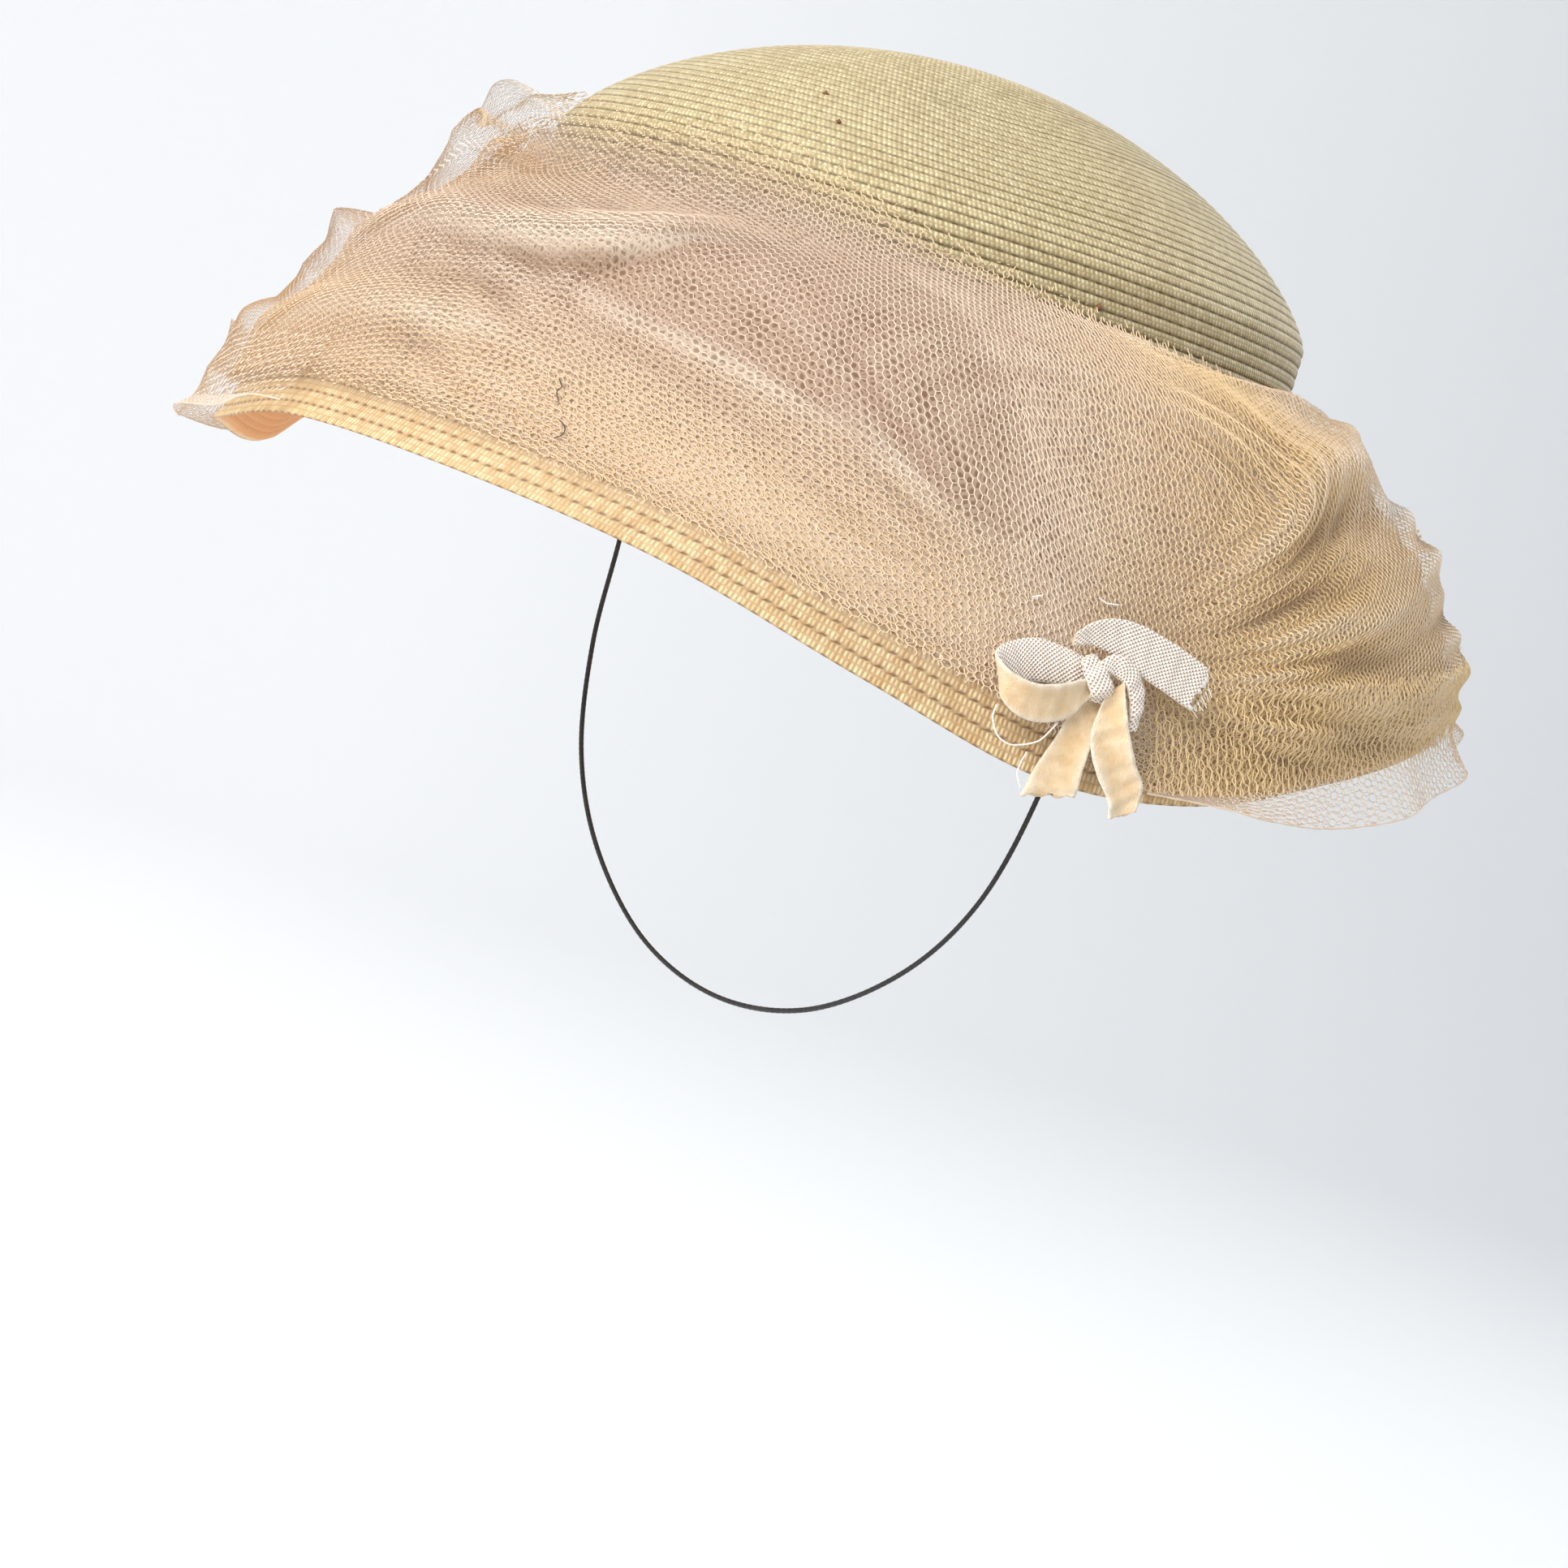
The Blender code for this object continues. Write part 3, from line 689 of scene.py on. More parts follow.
def relief(turn, down):
    """Above 0 on the ridges of folds and pleats and below 0 in their creases. The net's finishes paint a highlight
    on the ridges and shade in the creases from it.
    """
    places = [down, np.clip(down - RELIEF_STEP, 0, 1), np.clip(down + RELIEF_STEP, 0, 1)]
    here, above, below = (fold_lift(turn, place) + pleat_lift(turn, place) for place in places)
    front = from_front(turn)
    strength = 0.2 + 0.8 * smooth_step(front, -10, 16) - 0.3 * smooth_step(front, 60, 80)
    return np.clip(strength * (here - (above + below) / 2) / RELIEF_FULL, -1, 1)


# %% Open loops
# Along both sides the outer ply alone stands out in loops. Each row is a place down, how much further out the net
# stands there on the wearer's right, and how much on the left, in millimetres.
LOOPS = np.array((
    (0.0, 0, 0), (0.06, 2, 0), (0.12, 5, 0), (0.20, 4, 1), (0.31, -1, 2), (0.37, 1, 1.5),
    (0.43, 5, 0.5), (0.50, 2, 0.3), (0.56, -2.5, 1.5), (0.61, -5, 3), (0.66, 2.5, 1.2), (0.70, 2, 1.8),
    (0.75, 2.5, 0.5), (0.81, -2, 0.3), (0.86, 0, 0.3), (0.90, 1.5, 2), (0.96, 2, 2.5), (1.0, 1.5, 1),
))
LOOP_FULL = 3.5 * MM


def loop_lift(turn, down):
    """How much further the outer ply stands out than its folds."""
    here = from_front(turn)
    drift = down + 0.02 * np.sin(np.radians(7 * turn))
    one_side = span(here, -100, -55, -24, -4) * np.interp(drift, LOOPS[:, 0], LOOPS[:, 1])
    other_side = span(here, 96, 112, 138, 155) * np.interp(drift, LOOPS[:, 0], LOOPS[:, 2])
    return (one_side + other_side) * MM


def outer_share(loft):
    """1 for the outer ply alone."""
    return smooth_step(loft, 0.9, 1.0)


# %% Place of a ply
def off_brim(turn, out, lift, past=0.0):
    """Mean radius and height at a lift off the brim's face and a way past it."""
    here, along, off = brim_frame(turn, np.broadcast_to(out, np.shape(turn)))
    return here + past * along + np.broadcast_to(lift, np.shape(turn))[..., None] * off


def net_line(turn, down, loft):
    """Mean radius and height of a ply before its folds. down runs from 0 at its upper edge to 1 at the rim."""
    edge = round_value("edge", turn)
    lifts = [NET_GAP + loft * round_value(column, turn) for column in ("shoulder", "high", "middle", "low")]
    half = EDGE_HALF * edge
    knots = [np.stack([crown_radius(edge) + EDGE_GAP * (0.3 + 0.7 * loft), edge], -1),
             np.stack([crown_radius(half) + NET_GAP + EDGE_EASE * lifts[0], half], -1)]
    knots += [off_brim(turn, out, lift) for out, lift in zip(NET_PLACES, lifts)]
    knots += [off_brim(turn, 1.0, NET_GAP + RIM_EASE * lifts[3], RIM_WRAP)]
    knots = np.stack([2 * knots[0] - knots[1], *knots, 2 * knots[-1] - knots[-2]])
    place = np.clip(down, 0, 1) * 6
    here = np.minimum(place.astype(int), 5)
    u = (place - here)[..., None]
    near = [np.take_along_axis(knots, (here + k)[None, ..., None], 0)[0] for k in range(4)]
    return smooth_between(near, u)


def ply_line(turn, down, loft, lift=0.0):
    """Mean radius and height of a ply with its folds and pleats."""
    turn, down = (np.array(x, float) for x in np.broadcast_arrays(turn, down))
    here = net_line(turn, down, loft)
    along = net_line(turn, down + SLOPE_STEP, loft) - net_line(turn, down - SLOPE_STEP, loft)
    along /= np.linalg.norm(along, axis=-1, keepdims=True)
    folds = loft * (fold_lift(turn, down) + pleat_lift(turn, down))
    raised = folds + lift + loop_lift(turn, down) * outer_share(loft)
    return here + raised[..., None] * np.stack([-along[..., 1], along[..., 0]], -1)


def ply(turn, down, loft, lift=0.0):
    """Points of a ply."""
    line = ply_line(turn, down, loft, lift)
    return placed(turn, line[..., 0], line[..., 1])


# %% Open field and even cells
# Between the front and the bow the net is one open ply over its own shadow. That field lies between these places.
FIELD_TURNS = (8, 15, 19, 24, 30, 40, 50, 58, 66)
FIELD_TOP = (0.64, 0.57, 0.50, 0.39, 0.33, 0.31, 0.40, 0.54, 0.70)
FIELD_BOTTOM = (0.66, 0.675, 0.685, 0.69, 0.695, 0.70, 0.73, 0.755, 0.76)


def open_field(turn, down):
    """1 where the net is one open ply, and 0 away from there."""
    here = from_front(turn)
    top = np.interp(here, FIELD_TURNS, FIELD_TOP)
    bottom = np.interp(here, FIELD_TURNS, FIELD_BOTTOM)
    ends = span(here, FIELD_TURNS[0], FIELD_TURNS[0] + 8, FIELD_TURNS[-1] - 10, FIELD_TURNS[-1])
    return ends * span(down, top - 0.03, top + 0.05, bottom - 0.03, bottom + 0.02)


EVEN_TURNS, EVEN_DOWNS, EVEN_SHARES = 181, 260, 101


def even_table(loft):
    """The place down at even shares of a ply's own length, for turns all the way round."""
    turns = np.linspace(-180, 180, EVEN_TURNS)
    downs = np.linspace(0, 1, EVEN_DOWNS)
    turn, down = np.meshgrid(turns, downs, indexing="ij")
    points = ply(turn, down, loft(turn))
    steps = np.linalg.norm(np.diff(points, axis=1), axis=2)
    step_turn, step_down = np.meshgrid(turns, (downs[1:] + downs[:-1]) / 2, indexing="ij")
    closer = span(step_turn, 56, 76, 140, 160) * smooth_step(step_down, 0.5, 0.8)
    steps = steps * (1 - 0.3 * open_field(step_turn, step_down) + 0.8 * closer)
    run = np.concatenate([np.zeros((EVEN_TURNS, 1)), np.cumsum(steps, 1)], 1)
    shares = np.linspace(0, 1, EVEN_SHARES)
    return np.stack([np.interp(shares, row / row[-1], downs) for row in run])


CELL_TURNS = np.linspace(-180, 180, 721)


def cell_turn(share):
    """Turns of the cells, which are wider apart in the open field, beside it and at the back."""
    back = smooth_step(CELL_TURNS, 150, 170) + 1 - smooth_step(CELL_TURNS, -90, -70)
    closeness = (1 - 0.27 * span(CELL_TURNS, -6, 10, 44, 64) - 0.4 * span(CELL_TURNS, 96, 112, 138, 150)
                 + 0.12 * span(CELL_TURNS, 56, 80, 135, 155) - 0.22 * back)
    count = np.concatenate([[0], np.cumsum((closeness[1:] + closeness[:-1]) / 2)])
    return np.interp(np.mod(share, 1), count / count[-1], CELL_TURNS)


def even_down(table, turn, share):
    """The place down where a share of the ply's length is used up, so that its chains lie evenly over the folds."""
    across = np.mod(turn + 180, 360) / 360 * (EVEN_TURNS - 1)
    along = np.clip(share, 0, 1) * (EVEN_SHARES - 1)
    i = np.minimum(across.astype(int), EVEN_TURNS - 2)
    j = np.minimum(along.astype(int), EVEN_SHARES - 2)
    u, v = across - i, along - j
    return ((1 - u) * ((1 - v) * table[i, j] + v * table[i, j + 1])
            + u * ((1 - v) * table[i + 1, j] + v * table[i + 1, j + 1]))


# %% [markdown]
# ## Open plies of net
# Seen close, the net is a honeycomb of fine threads. An image of a honeycomb would lie flat and vanish along the
# outline, where loops of it stand open, so the three upper plies are real threads. Each thread is a flat tape that
# faces outwards, since round threads would cost three times the triangles, and the links are a little uneven, as
# bobbin net is.

# %% Honeycomb
THREAD = 0.12 * MM
FLAT_TILT = 38
LINK_JITTER = 0.08 * MM
CHAIN_STEP = 0.866  # from one chain of cells to the next, as a share of a cell's width


def honeycomb(across, down, slant):
    """Links of a honeycomb that lies at a slant, and the threads' ends. Its cells are one unit wide."""
    angle = math.radians(slant)
    reach = abs(across * math.cos(angle)) + abs(down * math.sin(angle)) + 4
    tall = abs(across * math.sin(angle)) + abs(down * math.cos(angle)) + 4
    columns, chains = int(reach) * 2, int(tall / CHAIN_STEP)
    steps, rows = np.meshgrid(np.arange(columns), np.arange(chains))
    sign = np.where((steps + rows) % 2 == 0, 1, -1)
    x, y = steps / 2 - reach / 2, (rows + sign / 6) * CHAIN_STEP - tall / 2
    links = np.stack([x * math.cos(angle) - y * math.sin(angle) + across / 2,
                      x * math.sin(angle) + y * math.cos(angle) + down / 2], -1).reshape(-1, 2)
    index = steps + rows * columns
    zigzag = np.stack([index[:, :-1], index[:, 1:]], -1).reshape(-1, 2)
    joined = np.stack([index[:-1], index[1:]], -1)[sign[:-1] > 0]
    ends = np.concatenate([zigzag, joined])
    inside = ((links >= 0) & (links <= [across, down])).all(1)
    ends = ends[inside[ends].all(1)]
    used, again = np.unique(ends, return_inverse=True)
    return links[used], again.reshape(-1, 2)


def threads(name, links, ends, radius, finish, values, flat=False):
    """A mesh of threads between links: three-sided, or flat tapes that face outwards."""
    first, last = links[ends[:, 0]], links[ends[:, 1]]
    along = last - first
    along /= np.maximum(np.linalg.norm(along, axis=1, keepdims=True), 1e-9)
    out = first * [1, 1, 0] + [0, 0, 0.06]
    side = np.cross(along, out)
    side /= np.linalg.norm(side, axis=1, keepdims=True)
    other = np.cross(along, side)
    corners = []
    for angle in np.radians((FLAT_TILT, FLAT_TILT + 180) if flat else (90, 210, 330)):
        push = radius * (math.cos(angle) * side + math.sin(angle) * other)
        corners += [first + push, last + push]
    points = np.stack(corners, 1)
    base = len(corners) * np.arange(len(ends))[:, None]
    quads = ((0, 1, 3, 2),) if flat else ((0, 1, 3, 2), (2, 3, 5, 4), (4, 5, 1, 0))
    faces = np.concatenate([base + np.array(face)[None] for face in quads])
    kept = np.repeat(values[ends[:, 0]][:, None], len(corners), 1)
    return make_piece(name, points, faces, finish, {"net": kept})


# %% Thread finish
THREAD_PALE, THREAD_ROSE, THREAD_TAN = (0.74, 0.615, 0.485), (0.64, 0.48, 0.355), (0.69, 0.47, 0.18)
# The last colour here is a painted paleness for threads that stand free against the bright room.
THREAD_GOLD, THREAD_PAINTED_BACKLIT_PALE = (0.77, 0.57, 0.345), (0.80, 0.78, 0.745)
# Colours of a painted highlight on the ridges of folds and of painted shade in their creases.
THREAD_PAINTED_RIDGE_HIGHLIGHT, THREAD_PAINTED_CREASE_SHADE = (0.82, 0.72, 0.60), (0.37, 0.235, 0.13)


def thread_finish():
    """Fine net thread: a painted highlight on a fold, painted brown shade in a crease, tanned behind the bow,
    and painted pale where it stands free, for the bright room seen through it.

    The points keep how tanned it is, or below 0 how golden, then its ridge, and a shade, from 1 to 2 where it
    stands free."""
    made, tree, shader = new_finish("net_thread", 0.5, sheen=0.15)
    tanned, ridge, shade = kept_value(tree, "net")
    uneven = stretch(tree, cloudy(tree, 140), 0.3, 0.7, 0.0, 0.6)
    tone = reckon(tree, "ADD", uneven, stretch(tree, shade, 0.0, 1.0, 0.0, 0.5))
    colour = blend_colours(tree, tone, THREAD_PALE, THREAD_ROSE)
    colour = blend_colours(tree, tanned, colour, THREAD_TAN)
    colour = blend_colours(tree, stretch(tree, tanned, 0.0, -1.0), colour, THREAD_GOLD)
    untanned = stretch(tree, tanned, 0.0, 1.0, 1.0, 0.35)
    # Painted highlight on the ridges of the folds, then painted brown shade in their creases.
    bright = times(tree, stretch(tree, ridge, 0.1, 1.0, 0.0, 0.6), untanned)
    colour = blend_colours(tree, bright, colour, THREAD_PAINTED_RIDGE_HIGHLIGHT)
    colour = blend_colours(tree, stretch(tree, ridge, -0.1, -1.0, 0.0, 0.75), colour, THREAD_PAINTED_CREASE_SHADE)
    # Painted paleness where the outer ply stands free in loops. It stands in for the bright room seen through the
    # thin threads.
    colour = blend_colours(tree, stretch(tree, shade, 1.0, 2.0, 0.0, 0.7), colour, THREAD_PAINTED_BACKLIT_PALE)
    feed(tree, shader.inputs["Base Color"], colour)
    raise_surface(tree, shader, cloudy(tree, 6000, 1.0), 0.00003, 0.5)
    return made


# %% Where the net changes
def warp(turn, down, shift):
    """A net is never laid quite straight, so its chains sway."""
    sway = np.radians(turn)
    aside = 1.6 * np.sin(3 * sway + 5 * down + shift) + 0.9 * np.sin(7 * sway - 9 * down + 2 * shift)
    return turn + aside, down + 0.012 * np.sin(4 * sway + shift) * np.sin(math.pi * down)


def rim_front(turn):
    """1 along the front rim, where the net stops short of the last rows of straw."""
    return span(from_front(turn), -84, -60, 62, 76)


def tan_share(turn, down):
    """How tanned the net is behind the bow, or, below 0, how golden it is along its upper edge and the rim."""
    here = from_front(turn)
    deepest = 0.8 + 0.2 * smooth_step(down, 0.6, 0.85)
    tanned = deepest * smooth_step(here, 52, 100) * (1 - 0.5 * smooth_step(here, 130, 170))
    golden = 0.75 * rim_front(turn) * smooth_step(down, 0.62, 0.86) * (1 - smooth_step(here, 50, 75))
    tanned = tanned + 0.3 * (1 - smooth_step(here, -20, 10)) * (1 - smooth_step(down, 0.3, 0.6))
    upper = 0.9 * (1 - smooth_step(down, 0.05, 0.27))
    return np.clip(tanned * (1 - upper) - golden - upper, -1, 1)


def far_right(turn):
    """1 where the net turns away behind the bow, and its outer ply stands out pale and coarse."""
    return span(from_front(turn), 84, 104, 145, 165)


# %% Plies of thread
NET_CELLS, NET_DEEP = 440, 64  # how many cells the net is round and down


def ply_threads(name, loft, lift, slant, keep):
    """A ply of threads. loft is a function of the turn, and keep tells from turns and places down which threads it
    has."""
    links, ends = honeycomb(NET_CELLS, NET_DEEP, slant)
    turn, share = warp(cell_turn(links[:, 0] / NET_CELLS), links[:, 1] / NET_DEEP, math.radians(slant))
    down = even_down(even_table(loft), turn, share)
    points = ply(turn, down, loft(turn), lift)
    loose = np.clip(4 * down * (1 - down), 0.1, 1)[:, None]
    points += chance.uniform(-LINK_JITTER, LINK_JITTER, points.shape) * loose
    outer = outer_share(loft(turn))
    free = np.clip(loop_lift(turn, down) / LOOP_FULL, 0, 1) * outer
    tanned = tan_share(turn, down)
    tanned = tanned - 0.65 * np.clip(tanned, 0, 1) * far_right(turn) * outer
    # Threads of the outer ply that stand free get a shade from 1 to 2, which paints them pale.
    values = np.stack([tanned, relief(turn, down), chance.uniform(0, 1, len(turn)) * (1 - free) + 2 * free], 1)
    kept = keep(turn[ends[:, 0]], down[ends[:, 0]])
    front = from_front(turn[ends[kept, 0]])
    thinner = 0.3 * span(front, -170, -120, -28, 0)
    thin = THREAD * (1 - thinner + 0.5 * far_right(front))[:, None]
    piece = threads(name, points, ends[kept], thin, net_thread, values, flat=True)
    print(piece.name, triangles(piece), "triangles")
    return piece


# %% Lofts
def outer_loft(turn):
    return np.ones(np.shape(turn))


def inner_loft(full, beside):
    """A ply's loft all round, and along both sides, where the outer ply stands clear of it in open loops."""
    def loft(turn):
        here = from_front(turn)
        one_side = span(here, -125, -95, -34, -6)
        other_side = span(here, 88, 112, 145, 170)
        return full + (beside - full) * one_side + (beside + 0.05 - full) * other_side
    return loft


def thinned(down, last, soft):
    """Drops more and more threads up to a last place down."""
    return down < last - soft * chance.uniform(0, 1, np.shape(down)) ** 2


def outer_keep(turn, down):
    below = thinned(down, 1.001 - 0.06 * rim_front(turn), 0.012 * rim_front(turn))
    return below & (down > 0.16 * chance.uniform(0, 1, np.shape(down)) ** 1.3)


def inner_keep(turn, down):
    below = thinned(down, 1.0 - 0.065 * rim_front(turn), 0.02 * rim_front(turn))
    above = down > 0.08 + 0.3 * chance.uniform(0, 1, np.shape(down))
    return (open_field(turn, down) < 0.5) & above & below


net_thread = thread_finish()
outer_ply = ply_threads("net_outer", outer_loft, 0.45 * MM, 18, outer_keep)
middle_ply = ply_threads("net_middle", inner_loft(0.86, 0.6), 0.3 * MM, -14, inner_keep)
inner_ply = ply_threads("net_inner", inner_loft(0.72, 0.46), 0.15 * MM, 44, inner_keep)

# %% [markdown]
# ## The dense net
# Below the open plies the net lies so thick that it reads as one soft, slightly uneven surface. More plies of
# thread would cost too many triangles, and a solid wall would hide the straw at the rim and the crown's lower rows.
# So this is a thin sheet whose finish works out two crossing honeycombs and opens up towards both edges.

# %% Dense net finish
GROUND_DEEP, GROUND_SOFT, GROUND_SHADOW = (0.45, 0.32, 0.22), (0.53, 0.385, 0.275), (0.29, 0.17, 0.105)
GROUND_GOLD, GROUND_GLOW = (0.62, 0.43, 0.24), (0.65, 0.52, 0.41)
DENSE_THREAD, DENSE_SHADOW, DENSE_GLOW = (0.59, 0.455, 0.35), (0.42, 0.285, 0.20), (0.70, 0.59, 0.48)


def honeycomb_mask(tree, x, y, thin, wide):
    """1 on the threads of a honeycomb with cells one unit wide, and 0 inside its cells."""
    nearest = None
    tall = reckon(tree, "DIVIDE", y, 2 * CHAIN_STEP)
    for offset in (0.0, 0.5):
        ax, ay = (reckon(tree, "ABSOLUTE", reckon(tree, "SUBTRACT", reckon(
            tree, "FRACT", reckon(tree, "ADD", place, offset)), 0.5)) for place in (x, tall))
        slanted = reckon(tree, "MULTIPLY_ADD", ay, 1.5, times(tree, ax, 0.5))
        edge = reckon(tree, "MAXIMUM", ax, slanted)
        nearest = edge if nearest is None else reckon(tree, "MINIMUM", nearest, edge)
    return stretch(tree, nearest, 0.5 - wide, 0.5 - thin)


def dense_finish():
    """Thick net: two honeycombs that cross, on a soft ground whose colour and cover come from the sheet."""
    made, tree, shader = new_finish("dense_net", 0.75, sheen=0.15)
    x, y, cover = kept_value(tree, "net")
    shadow, gold, glow = kept_value(tree, "tone")
    drift = cloudy(tree, 60, 2.0)
    first = honeycomb_mask(tree, reckon(tree, "ADD", x, drift), y, 0.06, 0.2)
    turned_x = reckon(tree, "MULTIPLY_ADD", x, 0.94, times(tree, y, 0.13))
    turned_y = reckon(tree, "MULTIPLY_ADD", y, 0.97, times(tree, x, -0.09))
    second = honeycomb_mask(tree, turned_x, turned_y, 0.06, 0.2)
    threads_here = reckon(tree, "MAXIMUM", first, second)
    tone = stretch(tree, cloudy(tree, 45, 4.0), 0.3, 0.7)
    ground = blend_colours(tree, tone, GROUND_DEEP, GROUND_SOFT)
    ground = blend_colours(tree, shadow, ground, GROUND_SHADOW)
    ground = blend_colours(tree, gold, ground, GROUND_GOLD)
    ground = blend_colours(tree, times(tree, glow, 0.6), ground, GROUND_GLOW)
    thread_colour = blend_colours(tree, shadow, DENSE_THREAD, DENSE_SHADOW)
    thread_colour = blend_colours(tree, glow, thread_colour, DENSE_GLOW)
    feed(tree, shader.inputs["Base Color"], blend_colours(tree, threads_here, ground, thread_colour))
    open_cells = times(tree, cover, reckon(tree, "MULTIPLY_ADD", threads_here, 0.45, 0.72))
    feed(tree, shader.inputs["Alpha"], reckon(tree, "MINIMUM", open_cells, 1.0))
    raise_surface(tree, shader, threads_here, 0.0002, 0.5)
    return made


# %% Dense sheet
VEIL_COLUMNS, VEIL_ROWS = 480, 90
VEIL_CELLS, VEIL_DEEP = 400, 66
veil_loft = inner_loft(0.56, 0.3)


def veil_cover(turn, down):
    """How much the dense net covers: less and less towards its upper edge and the rim."""
    here, rim_open = from_front(turn), rim_front(turn)
    top = smooth_step(down, 0.05, 0.25 + 0.13 * span(here, -45, 0, 90, 130))
    beside = span(here, 72, 96, 150, 170)
    rim = 1 - 0.9 * smooth_step(down, 0.93 - 0.06 * rim_open - 0.16 * beside, 0.985 - 0.025 * rim_open)
    return top * rim * (1 - 0.4 * beside)


def veil_tone(turn, down):
    """Its shadow, its gold and its glow, each from 0 to 1."""
    field = open_field(turn, down)
    raised = relief(turn, down)
    shadow = 0.8 * field + 0.55 * np.clip(-raised, 0, 1) + 0.4 * far_right(turn)
    gold = 0.8 * rim_front(turn) * smooth_step(down, 0.66, 0.92) + 0.85 * np.clip(tan_share(turn, down), 0, 1)
    side_glow = 0.4 * (1 - smooth_step(from_front(turn), -30, 0)) * smooth_step(down, 0.45, 0.7)
    gold = np.clip(gold, 0, 1) * (1 - field)
    return np.stack([np.clip(shadow, 0, 1), gold, np.clip(raised + side_glow, 0, 1)], -1)


veil_turn, veil_down = np.meshgrid(np.arange(VEIL_COLUMNS) * 360 / VEIL_COLUMNS, np.linspace(0.0, 1.0, VEIL_ROWS))
veil_points = ply(veil_turn, veil_down, veil_loft(veil_turn))
veil_cells = np.stack([veil_turn * VEIL_CELLS / 360, veil_down * VEIL_DEEP, veil_cover(veil_turn, veil_down)], -1)
veil = make_piece("net_dense", veil_points, grid_faces(VEIL_ROWS, VEIL_COLUMNS, True), dense_finish(),
                  {"net": veil_cells, "tone": veil_tone(veil_turn, veil_down)})
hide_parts("tulle_swathe")
print("dense net", triangles(veil), "triangles")

# %% [markdown]
# ## The ruffle
# At the rim the net's edge is left as a loose ruffle, from beside the bow round the back and the right to the
# front. It could be a plain strip with waves, but light comes through it, so it is two open plies of thread. Its
# waves start at the rim and open towards its edge.

# %% Ruffle
RUFFLE_TURNS = (75.0, 350.0)
RUFFLE_ROW = 2 / 14
RUFFLE_GAP, RUFFLE_WAVE, RUFFLE_WAVES, RUFFLE_FADE = 1.6 * MM, 3.6 * MM, 19, 10
RUFFLE_SHIFT, RUFFLE_BUNCHES, RUFFLE_OPENS = 1.4, 3, 1.5
RUFFLE_CELLS, RUFFLE_DEEP = 330, 13
RUFFLE_SLANTS = (20, -9)


def ruffle(turn, part):
    """Points of the ruffle: its first half lies on the net, and its second half runs past the rim."""
    first, last = RUFFLE_TURNS
    bunched = RUFFLE_SHIFT * np.sin(np.radians(turn * RUFFLE_BUNCHES))
    wave = 0.5 + 0.5 * np.sin(np.radians(turn * RUFFLE_WAVES) + bunched)
    ends = np.clip(np.minimum((turn - first) / RUFFLE_FADE, (last - turn) / RUFFLE_FADE), 0, 1)
    down = np.minimum(1 - RUFFLE_ROW * (1 - 2 * part), 1.0)
    here = ply_line(turn, down, 1.0, RUFFLE_GAP + RUFFLE_WAVE * wave * part ** RUFFLE_OPENS * ends)
    past = round_value("frill", turn) * ends * np.maximum(2 * part - 1, 0)
    _, along, _ = brim_frame(turn, np.ones(np.shape(turn)))
    line = here + past[..., None] * along
    return placed(turn, line[..., 0], line[..., 1])


(front_links, front_ends), (back_links, back_ends) = (honeycomb(RUFFLE_CELLS, RUFFLE_DEEP, slant)
                                                      for slant in RUFFLE_SLANTS)
ruffle_links = np.concatenate([front_links, back_links])
ruffle_ends = np.concatenate([front_ends, back_ends + len(front_links)])
ruffle_part = ruffle_links[:, 1] / RUFFLE_DEEP
ruffle_turn = RUFFLE_TURNS[0] + ruffle_links[:, 0] / RUFFLE_CELLS * (RUFFLE_TURNS[1] - RUFFLE_TURNS[0])
ruffle_points = ruffle(ruffle_turn, ruffle_part)
ruffle_points += chance.uniform(-LINK_JITTER, LINK_JITTER, ruffle_points.shape)
ruffle_thin = THREAD * (1 - 0.35 * smooth_step(ruffle_turn[ruffle_ends[:, 0]], 290, 320))[:, None]
ruffle_tan = 0.85 * (1 - smooth_step(ruffle_part, 0.4, 0.6)) * (1 - smooth_step(ruffle_turn, 130, 165))
ruffle_shade = chance.uniform(0, 0.4, len(ruffle_turn))
# Every ruffle thread keeps a ridge of 0.5, which gives it part of the painted ridge highlight.
ruffle_values = np.stack([ruffle_tan, 0.5 + 0 * ruffle_part, ruffle_shade], 1)
ruffle_net = threads("net_ruffle", ruffle_points, ruffle_ends, ruffle_thin, net_thread, ruffle_values, flat=True)
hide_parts("tulle_ruffle")
print("ruffle", triangles(ruffle_net), "triangles")

# %% Rolled edge and flat size
HEM_THREAD = 0.2 * MM
HEM_RINGS, HEM_SIDES = 900, 5
# The rolled edge keeps a ridge of 0.3, which gives it a little of the painted ridge highlight.
HEM_VALUES = (0.1, 0.3, 0.5)
NET_MIDDLE = 0.6

# The net's edge rolls up into a slightly thicker thread.
edge_path = ruffle(np.linspace(*RUFFLE_TURNS, HEM_RINGS), np.ones(HEM_RINGS))
wobble = 1 + 0.25 * np.sin(np.arange(HEM_RINGS) * 0.9)[:, None]
ruffle_edge = make_piece("ruffle_edge", tube_rings(edge_path, HEM_THREAD * wobble, HEM_SIDES),
                         grid_faces(HEM_RINGS, HEM_SIDES, True), net_thread,
                         {"net": np.broadcast_to(HEM_VALUES, (HEM_RINGS, HEM_SIDES, 3))})
one_way, other_way = veil_points[1:, 1:] - veil_points[:-1, :-1], veil_points[1:, :-1] - veil_points[:-1, 1:]
dense_area = 0.5 * np.linalg.norm(np.cross(one_way, other_way), axis=-1).sum()
net_long = round(float(run_lengths(ply(np.linspace(0, 360, 721), NET_MIDDLE, 1.0))[-1]), 3)
print("net", net_long, "m round; dense sheet", round(float(dense_area), 4), "m2")

# %% [markdown]
# ## The bow
# A narrow velvet ribbon is knotted at the rim: one loop and three tails. One side of it is velvet pile and the
# other is a plain pale twill. A curve with a flat bevel would twist by itself, and it has one finish. So each
# stretch is a grid of points over rows that give its width's direction too, with a thickness, a cupped section, and
# a face and a back of its own.

# %% Bow sizes
BOW_OUT, BOW_DROP = 143.6 * MM, 65.5 * MM
BOW_FACE_TURN, BOW_FACE_TIP, BOW_FACE_ROLL = 45, -3, -17
BRIM_ACROSS, BRIM_UP = -0.49, -0.30
